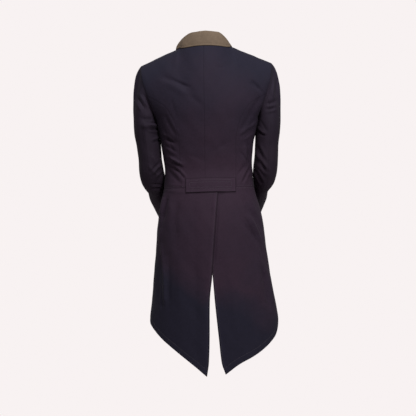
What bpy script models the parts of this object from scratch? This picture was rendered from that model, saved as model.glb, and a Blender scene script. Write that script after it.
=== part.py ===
"""Dressage tailcoat in its worn shape, empty inside.

The front faces -Y, up is +Z and the wearer's left is +X. The origin is the middle of the neck
opening, level with the inner ends of the shoulders. Each cloth piece is a wall between an outer
and an inner grid of points. The body's points lie on one rounded surface, addressed by an angle
round the body (0 at the centre back, 90 at the side, 180 at the centre front) and a height.
Above the chest line, height counts up to 0 at the neck and shoulder seams. The sleeves' points
lie on rings along the arm that begin at the armhole.
"""

import bpy
import numpy as np

# Cloth
WALL = 0.0016
SEAM_GAP = 0.0005
LAYER_GAP = 0.0007
LAYER = WALL + LAYER_GAP

# Heights of the chest line and the waist seam
CHEST = -0.214
WAIST = -0.434

# Power of the sines in the oval sections: 2 over an exponent of 2.2, a little squarer than an ellipse
OVAL = 2 / 2.2

# Oval sections of the body and the tails:
# height, half width on the left, half width on the right, depth of the back, depth of the front
SECTIONS = (
    (-1.040, 0.2000, 0.2120, 0.128, 0.100),
    (-0.850, 0.1945, 0.2090, 0.129, 0.100),
    (-0.790, 0.1870, 0.2010, 0.129, 0.100),
    (-0.720, 0.1800, 0.1880, 0.129, 0.102),
    (-0.640, 0.1720, 0.1785, 0.129, 0.105),
    (-0.565, 0.1655, 0.1710, 0.127, 0.108),
    (-0.500, 0.1570, 0.1590, 0.118, 0.110),
    (-0.434, 0.1415, 0.1425, 0.100, 0.104),
    (-0.378, 0.1360, 0.1370, 0.086, 0.100),
    (-0.313, 0.1450, 0.1425, 0.094, 0.108),
    (-0.280, 0.1500, 0.1475, 0.101, 0.117),
    (-0.214, 0.1640, 0.1620, 0.112, 0.127),
)

# Neck edge and shoulder seam
NECK_BACK = (0.058, 0.018)
NECK_FRONT = (-0.075, -0.055)
SIDE_NECK = (0.072, 0.004, 0.0115)
SHOULDER_TIP = {1: (0.2050, 0.000, -0.0465), -1: (0.2070, 0.000, -0.0470)}
SHOULDER_BOW = {1: 0.0000, -1: 0.0004}
SIDE_NECK_ANGLE = 30
TIP_ANGLE = 85

# Upper body, from the chest line to the neck and shoulder, as curves with two handles:
# angle from the centre, lower handle up, out and away from the middle, upper handle out, away and down
BACK_DOME = (
    (0, 0.090, 0.000, 0.000, 0.000, 0.035, 0.045),
    (10, 0.090, 0.000, 0.000, 0.010, 0.036, 0.043),
    (30, 0.085, 0.000, 0.003, 0.028, 0.054, 0.016),
    (45, 0.080, 0.004, 0.009, 0.012, 0.058, 0.018),
    (65, 0.070, 0.012, 0.020, 0.010, 0.056, 0.018),
    (78, 0.066, 0.018, 0.030, 0.010, 0.056, 0.016),
    (85, 0.066, 0.018, 0.030, 0.004, 0.050, 0.010),
    (90, 0.066, 0.018, 0.030, 0.004, 0.050, 0.010),
)
FRONT_DOME = (
    (0, 0.060, 0.000, 0.000, 0.000, 0.030, 0.040),
    (10, 0.062, 0.000, 0.000, 0.010, 0.032, 0.038),
    (30, 0.085, 0.000, 0.000, 0.024, 0.058, 0.022),
    (45, 0.080, 0.002, 0.004, 0.010, 0.062, 0.024),
    (65, 0.070, 0.004, 0.008, 0.003, 0.056, 0.020),
    (78, 0.066, 0.006, 0.014, 0.004, 0.050, 0.014),
    (85, 0.066, 0.008, 0.016, 0.004, 0.046, 0.010),
    (90, 0.066, 0.008, 0.016, 0.004, 0.046, 0.010),
)

# Centre-back seam: height, angle towards the wearer's left
CENTRE_SEAM = ((-0.434, 3.5), (-0.214, 2.2), (0.0, 1.0))

# Curved back seam from the waist to the armhole: height, angle
BACK_SEAM = (
    (-0.434, 35.0),
    (-0.350, 36.3),
    (-0.280, 34.3),
    (-0.230, 37.5),
    (-0.210, 41.0),
    (-0.190, 47.0),
    (-0.170, 59.0),
    (-0.145, 77.0),
)

# Armhole from the shoulder tip down to the underarm:
# share of the way, angle and height behind the arm, angle and height in front of it
ARMHOLE = (
    (0.00, 85.0, 0.000, 95.0, 0.000),
    (0.20, 82.0, -0.045, 103.0, -0.045),
    (0.40, 79.0, -0.095, 111.0, -0.095),
    (0.60, 77.0, -0.145, 115.0, -0.144),
    (0.80, 77.0, -0.189, 112.0, -0.187),
    (0.92, 82.0, -0.213, 102.0, -0.212),
    (1.00, 90.0, -0.222, 90.0, -0.222),
)
BACK_SEAM_SHARE = 0.60
FRONT_SEAM_SHARE = 0.80
FRONT_SEAM_ANGLE = 108.0

# Fronts: the edge past the centre, the cut of the hem, the roll line from side neck to top button
FRONT_EDGE_ANGLE = 187.0
TAIL_START_ANGLE = 142.0
POINT_DROP = 0.044
ROLL_LINE = ((0.00, 150.0, 0.000), (0.30, 156.0, -0.058), (0.62, 166.5, -0.135), (1.00, 187.0, -0.250))
OVERLAP_FROM = 158.0
OVERLAP_FULL = 172.0

# Lapels: share of the roll line where they start and end, and their outer edge as
# share of the lapel, angle, height
LAPEL_START = 0.33
LAPEL_END = {1: 0.80, -1: 0.985}
LAPEL_EDGE = ((0.00, 130.0, -0.073), (0.35, 138.0, -0.122), (0.70, 156.0, -0.190), (1.00, 0.0, 0.0))
LAPEL_ROLL = 0.0016

# Collar from the centre back (0) past the side neck (1) to its front end (2): place along the neck,
# fold line x on the left and right, y, z, then where its free edge lies: angle from the nearer
# centre line on the left and right, distance from the shoulder line (behind it below 0)
COLLAR = (
    (0.00, 0.0000, 0.0000, 0.0605, 0.0500, 0.0, 0.0, -0.023),
    (0.33, 0.0430, 0.0410, 0.0455, 0.0480, 17.0, 13.0, -0.024),
    (0.67, 0.0610, 0.0505, 0.0210, 0.0425, 36.0, 29.0, -0.017),
    (1.00, 0.0670, 0.0490, 0.0030, 0.0380, 44.5, 38.5, 0.000),
    (1.33, 0.0680, 0.0550, -0.0150, 0.0250, 43.0, 40.0, 0.026),
    (1.67, 0.0685, 0.0610, -0.0330, 0.0040, 42.0, 40.0, 0.047),
    (2.00, 0.0640, 0.0620, -0.0500, -0.0180, 40.0, 39.0, 0.064),
)
COLLAR_CLEAR = 0.0020
FALL_HANDLE = 0.000
FOLD_HANDLE = 0.006
STAND_HANDLE = 0.006

# Sleeve axis below the cap: x, y, z, half width on the left and right, half depth
SLEEVE = (
    (0.1905, -0.004, -0.262, 0.0390, 0.0378, 0.0606),
    (0.1855, -0.004, -0.300, 0.0380, 0.0374, 0.0596),
    (0.1828, -0.003, -0.340, 0.0368, 0.0372, 0.0576),
    (0.1804, -0.003, -0.370, 0.0380, 0.0380, 0.0550),
    (0.1762, -0.014, -0.398, 0.0386, 0.0372, 0.0500),
    (0.1670, -0.044, -0.424, 0.0304, 0.0276, 0.0460),
    (0.1560, -0.096, -0.460, 0.0342, 0.0320, 0.0446),
    (0.1400, -0.150, -0.500, 0.0340, 0.0328, 0.0430),
    (0.1255, -0.198, -0.540, 0.0330, 0.0320, 0.0420),
)
CAP_HANDLE = {1: 0.16, -1: 0.175}
CAP_ROWS = 8
ARM_ROWS = 15
SLEEVE_CLEAR = 0.0014
SLEEVE_NEAR = 0.010
HIND_SEAM_TURN = 82.0
FRONT_SEAM_TURN = 246.0

# Tails: edge at the centre back as height and distance from the centre line, on its own side
TAIL_BACK_EDGE = {
    1: (
        (-1.007, 0.0182),
        (-0.965, 0.0115),
        (-0.893, 0.0077),
        (-0.783, 0.0048),
        (-0.700, -0.0033),
        (-0.565, -0.0166),
        (-0.434, -0.0300),
    ),
    -1: (
        (-1.002, 0.0383),
        (-0.965, 0.0268),
        (-0.892, 0.0201),
        (-0.783, 0.0106),
        (-0.700, 0.0062),
        (-0.565, -0.0050),
        (-0.434, -0.0120),
    ),
}
# Cutaway front edge as height and angle
TAIL_FRONT_EDGE = {
    1: (
        (-0.842, 98.0),
        (-0.780, 104.0),
        (-0.680, 115.0),
        (-0.580, 126.0),
        (-0.500, 136.0),
        (-0.434, 142.0),
    ),
    -1: (
        (-0.835, 92.0),
        (-0.780, 100.0),
        (-0.680, 114.0),
        (-0.580, 126.0),
        (-0.500, 136.0),
        (-0.434, 142.0),
    ),
}
# Hem from the tip at the centre back to the corner at the side: share, angle, height
TAIL_HEM = {
    1: (
        (0.00, 4.2, -1.007),
        (0.15, 14.0, -0.976),
        (0.35, 32.0, -0.931),
        (0.55, 51.0, -0.894),
        (0.75, 71.0, -0.862),
        (0.88, 86.0, -0.850),
        (1.00, 98.0, -0.842),
    ),
    -1: (
        (0.00, 8.8, -1.002),
        (0.15, 20.0, -0.974),
        (0.35, 38.0, -0.946),
        (0.55, 56.0, -0.917),
        (0.75, 72.0, -0.891),
        (0.88, 82.0, -0.868),
        (1.00, 92.0, -0.835),
    ),
}
# The left tail lies over the right one: x where it starts to lift and where the lift is full
LAP_FROM = 0.050
LAP_FULL = 0.018

# Back belt
BELT_LEFT = 0.0700
BELT_RIGHT = -0.0810
BELT_TOP = -0.4070
BELT_BOTTOM = -0.4505
BELT_CLEAR = 0.0006
BELT_SETTLE = (-0.060, -0.030)

# Largest folds: 1 seen from the back or -1 from the front, then x and z of the line's start,
# bend and end, half width, height above the cloth (below 0, a trough)
FOLDS = (
    (1, 0.138, -0.089, 0.100, -0.104, 0.047, -0.141, 0.010, -0.0025),
    (1, 0.132, -0.106, 0.095, -0.122, 0.050, -0.157, 0.012, 0.0018),
    (1, -0.134, -0.112, -0.150, -0.118, -0.166, -0.141, 0.009, -0.0025),
    (1, 0.134, -0.283, 0.115, -0.284, 0.096, -0.297, 0.009, -0.0035),
    (1, 0.121, -0.338, 0.100, -0.344, 0.076, -0.362, 0.008, 0.0030),
    (1, 0.100, -0.378, 0.092, -0.386, 0.079, -0.406, 0.008, 0.0028),
    (1, -0.128, -0.300, -0.112, -0.330, -0.108, -0.380, 0.010, 0.0022),
    (1, 0.139, -0.520, 0.152, -0.545, 0.154, -0.585, 0.010, 0.0030),
    (1, 0.139, -0.660, 0.141, -0.720, 0.143, -0.800, 0.012, 0.0030),
    (1, -0.118, -0.530, -0.148, -0.565, -0.160, -0.620, 0.011, 0.0028),
    (1, -0.176, -0.700, -0.186, -0.760, -0.190, -0.815, 0.011, 0.0032),
    (-1, 0.150, -0.150, 0.120, -0.185, 0.080, -0.235, 0.013, 0.0022),
    (-1, -0.150, -0.155, -0.118, -0.190, -0.078, -0.232, 0.012, 0.0022),
    (-1, 0.120, -0.330, 0.080, -0.352, 0.030, -0.385, 0.009, -0.0025),
    (-1, -0.118, -0.342, -0.078, -0.360, -0.034, -0.388, 0.009, -0.0022),
)
SLEEVE_FOLDS = (
    (1, 0.166, -0.238, 0.184, -0.246, 0.206, -0.236, 0.008, 0.0035),
    (1, 0.168, -0.218, 0.186, -0.224, 0.204, -0.214, 0.008, -0.0035),
    (1, 0.150, -0.372, 0.164, -0.352, 0.172, -0.330, 0.006, 0.0028),
    (1, 0.152, -0.395, 0.172, -0.382, 0.184, -0.362, 0.006, 0.0026),
    (1, -0.186, -0.178, -0.200, -0.180, -0.220, -0.166, 0.006, -0.0035),
    (1, -0.150, -0.330, -0.168, -0.362, -0.188, -0.384, 0.006, 0.0028),
    (1, -0.148, -0.360, -0.166, -0.388, -0.190, -0.404, 0.006, 0.0026),
    (-1, 0.150, -0.372, 0.180, -0.368, 0.212, -0.378, 0.008, -0.0045),
    (-1, 0.152, -0.402, 0.178, -0.398, 0.206, -0.408, 0.008, -0.0040),
    (-1, -0.150, -0.370, -0.182, -0.366, -0.212, -0.376, 0.008, -0.0045),
    (-1, -0.152, -0.400, -0.180, -0.397, -0.206, -0.406, 0.008, -0.0040),
)

# Front buttons: heights, and the profile's radius and thickness
BUTTON_HEIGHTS = (-0.262, -0.322, -0.384)
BUTTON_RADIUS = 0.0100
BUTTON_THICKNESS = 0.0040
BUTTON_RIM = 0.0016
BUTTON_CLEAR = 0.0008
BUTTON_STEPS = 16

# Finishes: colour, roughness, metallic
FINISHES = {
    "navy_cloth": ((0.030, 0.022, 0.034, 1.0), 0.75, 0.0),
    "collar_cloth": ((0.165, 0.125, 0.100, 1.0), 0.70, 0.0),
    "button_resin": ((0.020, 0.018, 0.026, 1.0), 0.35, 0.0),
}

ANGLE_STEP = 0.4
HEIGHT_STEP = 0.0015
TOP_EDGE = -0.006
RIDGE_BLEND = 0.030
SAMPLES_ON_A_FOLD = 17


def columns(rows):
    """The columns of a table as arrays."""
    return np.array(rows, float).T


def unit(vectors):
    """The same directions at length one."""
    return vectors / np.linalg.norm(vectors, axis=-1, keepdims=True)


def soft_step(share):
    """0 up to share 0, 1 from share 1 on, and an even slope between."""
    share = np.clip(share, 0, 1)
    return share * share * (3 - 2 * share)


def follow(x, xs, ys, flat_ends=False):
    """Smooth curve through a table: cubic pieces whose slopes never overshoot the rows."""
    step = np.diff(xs)
    rise = np.diff(ys) / step
    product = rise[1:] * rise[:-1]
    total = rise[1:] + rise[:-1]
    slope = np.zeros(len(ys))
    slope[1:-1] = np.where(product > 0, 2 * product / np.where(product > 0, total, 1), 0)
    if not flat_ends:
        slope[0], slope[-1] = rise[0], rise[-1]
    x = np.clip(x, xs[0], xs[-1])
    k = np.clip(np.searchsorted(xs, x) - 1, 0, len(step) - 1)
    t = (x - xs[k]) / step[k]
    ends = ys[k] * (1 + 2 * t) * (1 - t) ** 2 + ys[k + 1] * t * t * (3 - 2 * t)
    return ends + step[k] * (slope[k] * t * (1 - t) ** 2 - slope[k + 1] * t * t * (1 - t))


def bezier(p0, p1, p2, p3, t):
    """Point at share t of the curve from p0 to p3 with handles p1 and p2."""
    return (1 - t) ** 3 * p0 + 3 * (1 - t) ** 2 * t * p1 + 3 * (1 - t) * t * t * p2 + t**3 * p3


def section(side, angle, height):
    """Point of the oval section at a height, at or below the chest line."""
    heights, left, right, back, front = columns(SECTIONS)
    half = np.where(side > 0, follow(height, heights, left), follow(height, heights, right))
    turn = np.radians(angle)
    behind = np.cos(turn) > 0
    depth = np.where(behind, follow(height, heights, back), -follow(height, heights, front))
    x = side * half * np.abs(np.sin(turn)) ** OVAL
    y = depth * np.abs(np.cos(turn)) ** OVAL
    return np.stack([x, y, height + 0 * x], -1)


def ridge(side, angle):
    """Neck edge from the centre to the side neck, then the shoulder seam out to its tip."""
    behind = angle <= 90
    turn = np.where(behind, angle, 180 - angle)
    bend = np.pi / 2 * np.sin(np.pi / 2 * np.minimum(turn / SIDE_NECK_ANGLE, 1))
    along = np.clip((turn - SIDE_NECK_ANGLE) / (TIP_ANGLE - SIDE_NECK_ANGLE), 0, 1)
    out = (1 - np.cos(np.pi * along)) / 2
    neck_y = np.where(behind, NECK_BACK[0], NECK_FRONT[0])
    neck_z = np.where(behind, NECK_BACK[1], NECK_FRONT[1])
    tip = np.where((side > 0)[..., None], SHOULDER_TIP[1], SHOULDER_TIP[-1])
    bow = np.where(side > 0, SHOULDER_BOW[1], SHOULDER_BOW[-1])
    x = SIDE_NECK[0] * np.sin(bend)
    y = SIDE_NECK[1] + (neck_y - SIDE_NECK[1]) * np.cos(bend)
    z = SIDE_NECK[2] + (neck_z - SIDE_NECK[2]) * np.cos(bend) + bow * np.sin(np.pi * out)
    points = np.stack([x, y, z], -1) + (tip - SIDE_NECK) * out[..., None]
    return points * np.stack([side, 1 + 0 * side, 1 + 0 * side], -1)


def dome(side, angle, share):
    """Point above the chest line, on a curve from the chest section up to the ridge."""
    behind = angle <= 90
    turn = np.where(behind, angle, 180 - angle)
    back, front = columns(BACK_DOME), columns(FRONT_DOME)
    rise, low_out, low_away, out, away, down = (
        np.where(behind, follow(turn, back[0], b, True), follow(turn, front[0], f, True))
        for b, f in zip(back[1:], front[1:])
    )
    ahead = np.where(behind, 1, -1)
    base = section(side, angle, CHEST)
    lean = (base - section(side, angle, CHEST - HEIGHT_STEP)) / HEIGHT_STEP
    top = ridge(side, angle)
    lower = base + lean * rise[..., None] + np.stack([side * low_out, ahead * low_away, 0 * rise], -1)
    upper = top + np.stack([side * out, ahead * away, -down], -1)
    return bezier(base, lower, upper, top, share[..., None])


def body(side, angle, height):
    """Point of the body's cloth before folds. An angle past a centre line crosses to the other side."""
    side, angle, height = np.broadcast_arrays(np.array(side, float), angle, height)
    side = np.where((angle < 0) | (angle > 180), -side, side)
    angle = np.where(angle > 180, 360 - angle, np.abs(angle))
    share = np.maximum(height - CHEST, 0) / -CHEST
    low = section(side, angle, np.minimum(height, CHEST))
    return np.where((height > CHEST)[..., None], dome(side, angle, share), low)


def outward(surface, side, angle, height):
    """Outward direction of a surface, shared by front and back where they meet on the shoulder."""
    height = np.minimum(height, TOP_EDGE)
    facing = steepest(surface, side, angle, height)
    turn = np.minimum(angle, 180 - angle)
    near = soft_step(1 + height / RIDGE_BLEND) * soft_step((turn - SIDE_NECK_ANGLE) / 8 + 1)
    return unit(facing + near[..., None] * steepest(surface, side, 180 - angle, height))


def steepest(surface, side, angle, height):
    """Direction square to a surface at a place, from its differences round and up."""
    across = surface(side, angle + ANGLE_STEP, height) - surface(side, angle - ANGLE_STEP, height)
    up = surface(side, angle, height + HEIGHT_STEP) - surface(side, angle, height - HEIGHT_STEP)
    return unit(np.cross(up, across)) * side


def fold_height(points, facing, folds):
    """Height of the folds at the points: each fades with the distance from its line and to its ends."""
    total = np.zeros(points.shape[:-1])
    t = np.linspace(0, 1, SAMPLES_ON_A_FOLD)[:, None]
    for view, x0, z0, x1, z1, x2, z2, width, height in folds:
        start, bend, end = np.array([x0, z0]), np.array([x1, z1]), np.array([x2, z2])
        line = (1 - t) ** 2 * start + 2 * (1 - t) * t * bend + t * t * end
        apart = np.linalg.norm(points[..., None, ::2] - line, axis=-1)
        nearest = apart.argmin(-1) / (SAMPLES_ON_A_FOLD - 1)
        seen = soft_step(2 * view * facing[..., 1])
        taper = soft_step(4 * nearest) * soft_step(4 * (1 - nearest))
        total += height * np.exp(-((apart.min(-1) / width) ** 2)) * seen * (0.35 + 0.65 * taper)
    return total


def cloth(side, angle, height):
    """Point of the body's cloth with its folds."""
    points = body(side, angle, height)
    facing = outward(body, side, angle, height)
    return points + facing * fold_height(points, facing, FOLDS)[..., None]


def between(bottom, top, left, right, across, up):
    """Grid of places between four edges, each blended with the one opposite."""
    u, v = across[None, :, None], up[:, None, None]
    sides = (1 - u) * left[:, None] + u * right[:, None]
    ends = (1 - v) * bottom[None] + v * top[None]
    corners = (1 - v) * ((1 - u) * bottom[0] + u * bottom[-1]) + v * ((1 - u) * top[0] + u * top[-1])
    return sides + ends - corners


def inset(outer, inner, gap):
    """Draws the four edges of both grids in by half a seam gap, square to the edge."""
    for rows in (slice(None), slice(None, None, -1)):
        for turned in (False, True):
            o = outer.transpose(1, 0, 2) if turned else outer
            i = inner.transpose(1, 0, 2) if turned else inner
            o, i = o[rows], i[rows]
            edge, step = unit(np.gradient(o[0], axis=0)), o[1] - o[0]
            shift = unit(step - edge * (step * edge).sum(-1, keepdims=True)) * gap / 2
            o[0] += shift
            i[0] += shift
    return outer, inner


def add_object(name, mesh, finish):
    """Puts a mesh in the scene as a piece with a finish of its own."""
    colour, roughness, metallic = FINISHES[finish]
    material = bpy.data.materials.new(name + "_" + finish)
    material.use_nodes = True
    shader = material.node_tree.nodes["Principled BSDF"]
    shader.inputs["Base Color"].default_value = colour
    shader.inputs["Roughness"].default_value = roughness
    shader.inputs["Metallic"].default_value = metallic
    mesh.materials.append(material)
    piece = bpy.data.objects.new(name, mesh)
    bpy.data.collections["dressage_tailcoat"].objects.link(piece)
    return piece


def add_wall(name, outer, inner, finish):
    """A closed wall from an outer and an inner grid: two sheets of triangles and a rim."""
    rows, count = outer.shape[:2]
    size = rows * count
    index = np.arange(size).reshape(rows, count)
    a, b, c, d = index[:-1, :-1], index[:-1, 1:], index[1:, 1:], index[1:, :-1]
    sheet = np.concatenate([np.stack([a, b, c], -1), np.stack([a, c, d], -1)]).reshape(-1, 3)
    loop = np.concatenate([index[0, :-1], index[:-1, -1], index[-1, :0:-1], index[:0:-1, 0]])
    after = np.roll(loop, -1)
    rim = np.stack([[loop, loop + size, after], [after, loop + size, after + size]])
    rim = rim.transpose(0, 2, 1).reshape(-1, 3)
    faces = np.concatenate([sheet, sheet[:, ::-1] + size, rim])
    points = np.concatenate([outer.reshape(-1, 3), inner.reshape(-1, 3)])
    corners = points[faces]
    volume = np.einsum("ij,ij->", corners[:, 0], np.cross(corners[:, 1], corners[:, 2]))
    faces = faces if volume > 0 else faces[:, ::-1]
    mesh = bpy.data.meshes.new(name)
    mesh.from_pydata(points.tolist(), [], faces.tolist())
    mesh.shade_smooth()
    return add_object(name, mesh, finish)


def panel(name, side, places, lift=0.0, finish="navy_cloth", gap=SEAM_GAP):
    """A body panel from a grid of places (angle, height), moved out by its lift."""
    angle, height = places[..., 0], places[..., 1]
    facing = outward(cloth, side, angle, height)
    outer = cloth(side, angle, height) + facing * np.asarray(lift)[..., None]
    return add_wall(name, *inset(outer, outer - facing * WALL, gap), finish)


def armhole(share):
    """Place on the armhole: 0 at the shoulder tip, down behind to 1 at the underarm, up in front to 2."""
    shares, back_angle, back_height, front_angle, front_height = columns(ARMHOLE)
    down = np.where(share <= 1, share, 2 - share)
    angle = np.where(share <= 1, follow(down, shares, back_angle), follow(down, shares, front_angle))
    height = np.where(share <= 1, follow(down, shares, back_height), follow(down, shares, front_height))
    return np.stack([angle, height], -1)


# Stations on the armhole, shared by the panels and the sleeve
BEHIND = np.linspace(0, BACK_SEAM_SHARE, 8)
BELOW = np.linspace(BACK_SEAM_SHARE, 2 - FRONT_SEAM_SHARE, 8)
AHEAD = np.linspace(2 - FRONT_SEAM_SHARE, 2, 9)
BODY_ROWS = 9


def back_seam():
    """Curved back seam, from the waist to the armhole."""
    end = armhole(np.array(BACK_SEAM_SHARE))
    height = np.linspace(WAIST, end[1], BODY_ROWS + 1)
    heights, angles = columns(BACK_SEAM[:-1] + ((end[1], end[0]),))
    return np.stack([follow(height, heights, angles), height], -1)


def front_seam():
    """Seam between the side panel and the front, from the waist to the armhole."""
    end = armhole(np.array(2 - FRONT_SEAM_SHARE))
    up = np.linspace(0, 1, BODY_ROWS + 1)
    angle = FRONT_SEAM_ANGLE + (end[0] - FRONT_SEAM_ANGLE) * up**2
    return np.stack([angle, WAIST + (end[1] - WAIST) * up], -1)


def centre_seam(side, height):
    """Centre-back seam at the heights, as angles on one side."""
    return side * follow(height, *columns(CENTRE_SEAM), True)


def add_back(side, word):
    """Centre back: neck and shoulder edge above, waist seam below, back seam and armhole outside."""
    outside = np.concatenate([back_seam(), armhole(BEHIND[::-1])[1:]])
    inside = np.stack([centre_seam(side, outside[:, 1]), outside[:, 1]], -1)
    top_angle = np.array([inside[-1, 0], 10, 20, SIDE_NECK_ANGLE, 43, 56, 70, TIP_ANGLE])
    across = (top_angle - top_angle[0]) / (top_angle[-1] - top_angle[0])
    bottom = inside[0] + across[:, None] * (outside[0] - inside[0])
    top = inside[-1] + across[:, None] * (outside[-1] - inside[-1])
    up = np.linspace(0, 1, len(outside))
    return panel("back_" + word, side, between(bottom, top, inside, outside, across, up))


def add_side_body(side, word):
    """Side panel under the arm, between the back seam and the front seam."""
    top = armhole(BELOW)
    across = np.linspace(0, 1, len(top))
    left, right = back_seam(), front_seam()
    bottom = left[0] + across[:, None] * (right[0] - left[0])
    up = np.linspace(0, 1, BODY_ROWS + 1)
    return panel("side_body_" + word, side, between(bottom, top, left, right, across, up))


def roll_line(share):
    """Place on the roll line, 0 at the side neck and 1 at the top button."""
    shares, angle, height = columns(ROLL_LINE)
    return np.stack([follow(share, shares, angle), follow(share, shares, height)], -1)


def overlap(side, angle):
    """How far a front is lifted near the centre: the right one lies over the left one."""
    lift = LAYER * soft_step((angle - OVERLAP_FROM) / (OVERLAP_FULL - OVERLAP_FROM))
    return lift if side < 0 else 0 * lift


def add_front(side, word):
    """Front: shoulder seam above, armhole and front seam outside, roll line and front edge inside."""
    outside = np.concatenate([front_seam(), armhole(AHEAD)[1:]])
    edge_rows = 8
    heights = np.linspace(WAIST - POINT_DROP, ROLL_LINE[-1][2], edge_rows + 1)
    edge = np.stack([np.full(edge_rows + 1, FRONT_EDGE_ANGLE), heights], -1)
    roll = roll_line(np.linspace(1, 0, len(outside) - edge_rows))
    inside = np.concatenate([edge, roll[1:]])
    before = np.linspace(FRONT_SEAM_ANGLE, TAIL_START_ANGLE, 5)
    beyond = np.linspace(TAIL_START_ANGLE, FRONT_EDGE_ANGLE, 8)[1:]
    angle = np.concatenate([before, beyond])
    reach = (angle - TAIL_START_ANGLE) / (FRONT_EDGE_ANGLE - TAIL_START_ANGLE)
    bottom = np.stack([angle, WAIST - POINT_DROP * np.maximum(reach, 0)], -1)
    across = (angle - angle[0]) / (angle[-1] - angle[0])
    top = outside[-1] + across[:, None] * (inside[-1] - outside[-1])
    places = between(bottom, top, outside, inside, across, np.linspace(0, 1, len(outside)))
    return panel("front_" + word, side, places, overlap(side, places[..., 0]))


def add_lapel(side, word):
    """Lapel, lying on its front from the roll line to a notched outer edge."""
    end = LAPEL_END[side]
    down = np.linspace(0, 1, 12)
    inner = roll_line(LAPEL_START + (end - LAPEL_START) * down)
    shares, angle, height = columns(LAPEL_EDGE)
    angle[-1], height[-1] = inner[-1] + (-1.2, 0.0)
    outer = np.stack([follow(down, shares, angle), follow(down, shares, height)], -1)
    across = np.linspace(0, 1, 5)
    places = inner[:, None] + across[None, :, None] * (outer - inner)[:, None]
    lift = LAYER + LAPEL_ROLL * np.sin(np.pi * across)[None, :] + overlap(side, places[..., 0])
    return panel("lapel_" + word, side, places, lift)


def collar_lines(side, place):
    """Neck seam, fold line and free edge of half the collar at places from the centre back on."""
    rows = columns(COLLAR)
    fold_left, fold_right, fold_y, fold_z, left, right, down = (
        follow(place, rows[0], column, True) for column in rows[1:]
    )
    fold = np.stack([side * (fold_left if side > 0 else fold_right), fold_y, fold_z], -1)
    ahead = roll_line(np.maximum(place - 1, 0) * (LAPEL_START - 0.012))
    behind = np.stack([np.minimum(place, 1) * SIDE_NECK_ANGLE, 0 * place], -1)
    seam_place = np.where((place > 1)[:, None], ahead, behind)
    seam = body(side, seam_place[:, 0], seam_place[:, 1])
    turn = left if side > 0 else right
    angle = np.where(down > 0, 180 - turn, turn)
    leaf = body(side, angle, -np.abs(down))
    leaf = leaf + outward(body, side, angle, -np.abs(down)) * (WALL + COLLAR_CLEAR)
    return seam, fold, leaf


def add_collar():
    """Fall collar in one sheet: free edge, fall, fold, stand, neck seam."""
    stations = np.linspace(0, 2, 19)
    left, right = collar_lines(1, stations), collar_lines(-1, stations)
    seam, fold, leaf = (np.concatenate([one[::-1], other[1:]]) for one, other in zip(left, right))
    out = unit((leaf - fold) * (1, 1, 0))
    seam = seam + (0, 0, SEAM_GAP + 0.0006) - out * WALL / 2
    fall_share = np.linspace(0, 1, 6)[:, None, None]
    stand_share = np.linspace(0, 1, 5)[1:, None, None]
    drop = (seam - fold) * (0, 0, 1)
    rise = (fold - leaf) * (0, 0, 0.4)
    fall = bezier(leaf, leaf + rise + out * FALL_HANDLE, fold + out * FOLD_HANDLE, fold, fall_share)
    low = seam - drop / 2 - out * STAND_HANDLE / 3
    stand = bezier(fold, fold - out * STAND_HANDLE, low, seam, stand_share)
    outer = np.concatenate([fall, stand])
    along = np.gradient(outer, axis=1)
    over = np.gradient(outer, axis=0)
    facing = unit(np.cross(along, over))
    facing = facing if facing[0, len(stations) - 1, 1] > 0 else -facing
    return add_wall("collar", *inset(outer, outer - facing * WALL, 0.0), "collar_cloth")


def sleeve_axis(side, along):
    """Centre, half width and half depth of the sleeve at shares of its length below the cap."""
    rows = columns(SLEEVE)
    rows = rows[[0, 1, 2, 3 if side > 0 else 4, 5]]
    run = np.concatenate([[0], np.cumsum(np.linalg.norm(np.diff(rows[:3], axis=1), axis=0))])
    run = run / run[-1]
    values = [follow(along, run, column) for column in rows]
    return np.stack(values[:3], -1), values[3], values[4]


def tube(side, turn, along):
    """Point of the sleeve below the cap: an oval ring square to the axis, turn 0 outside, 90 behind."""
    centre, half_width, half_depth = sleeve_axis(side, along)
    ahead = unit(sleeve_axis(side, along + 0.01)[0] - sleeve_axis(side, along - 0.01)[0])
    wide = unit(np.array([1.0, 0, 0]) - ahead * ahead[..., :1])
    deep = np.cross(wide, ahead)
    angle = np.radians(turn)
    around = np.cos(angle) * half_width, np.sin(angle) * half_depth
    points = centre + wide * around[0][..., None] + deep * around[1][..., None]
    return points * (side, 1, 1)


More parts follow.
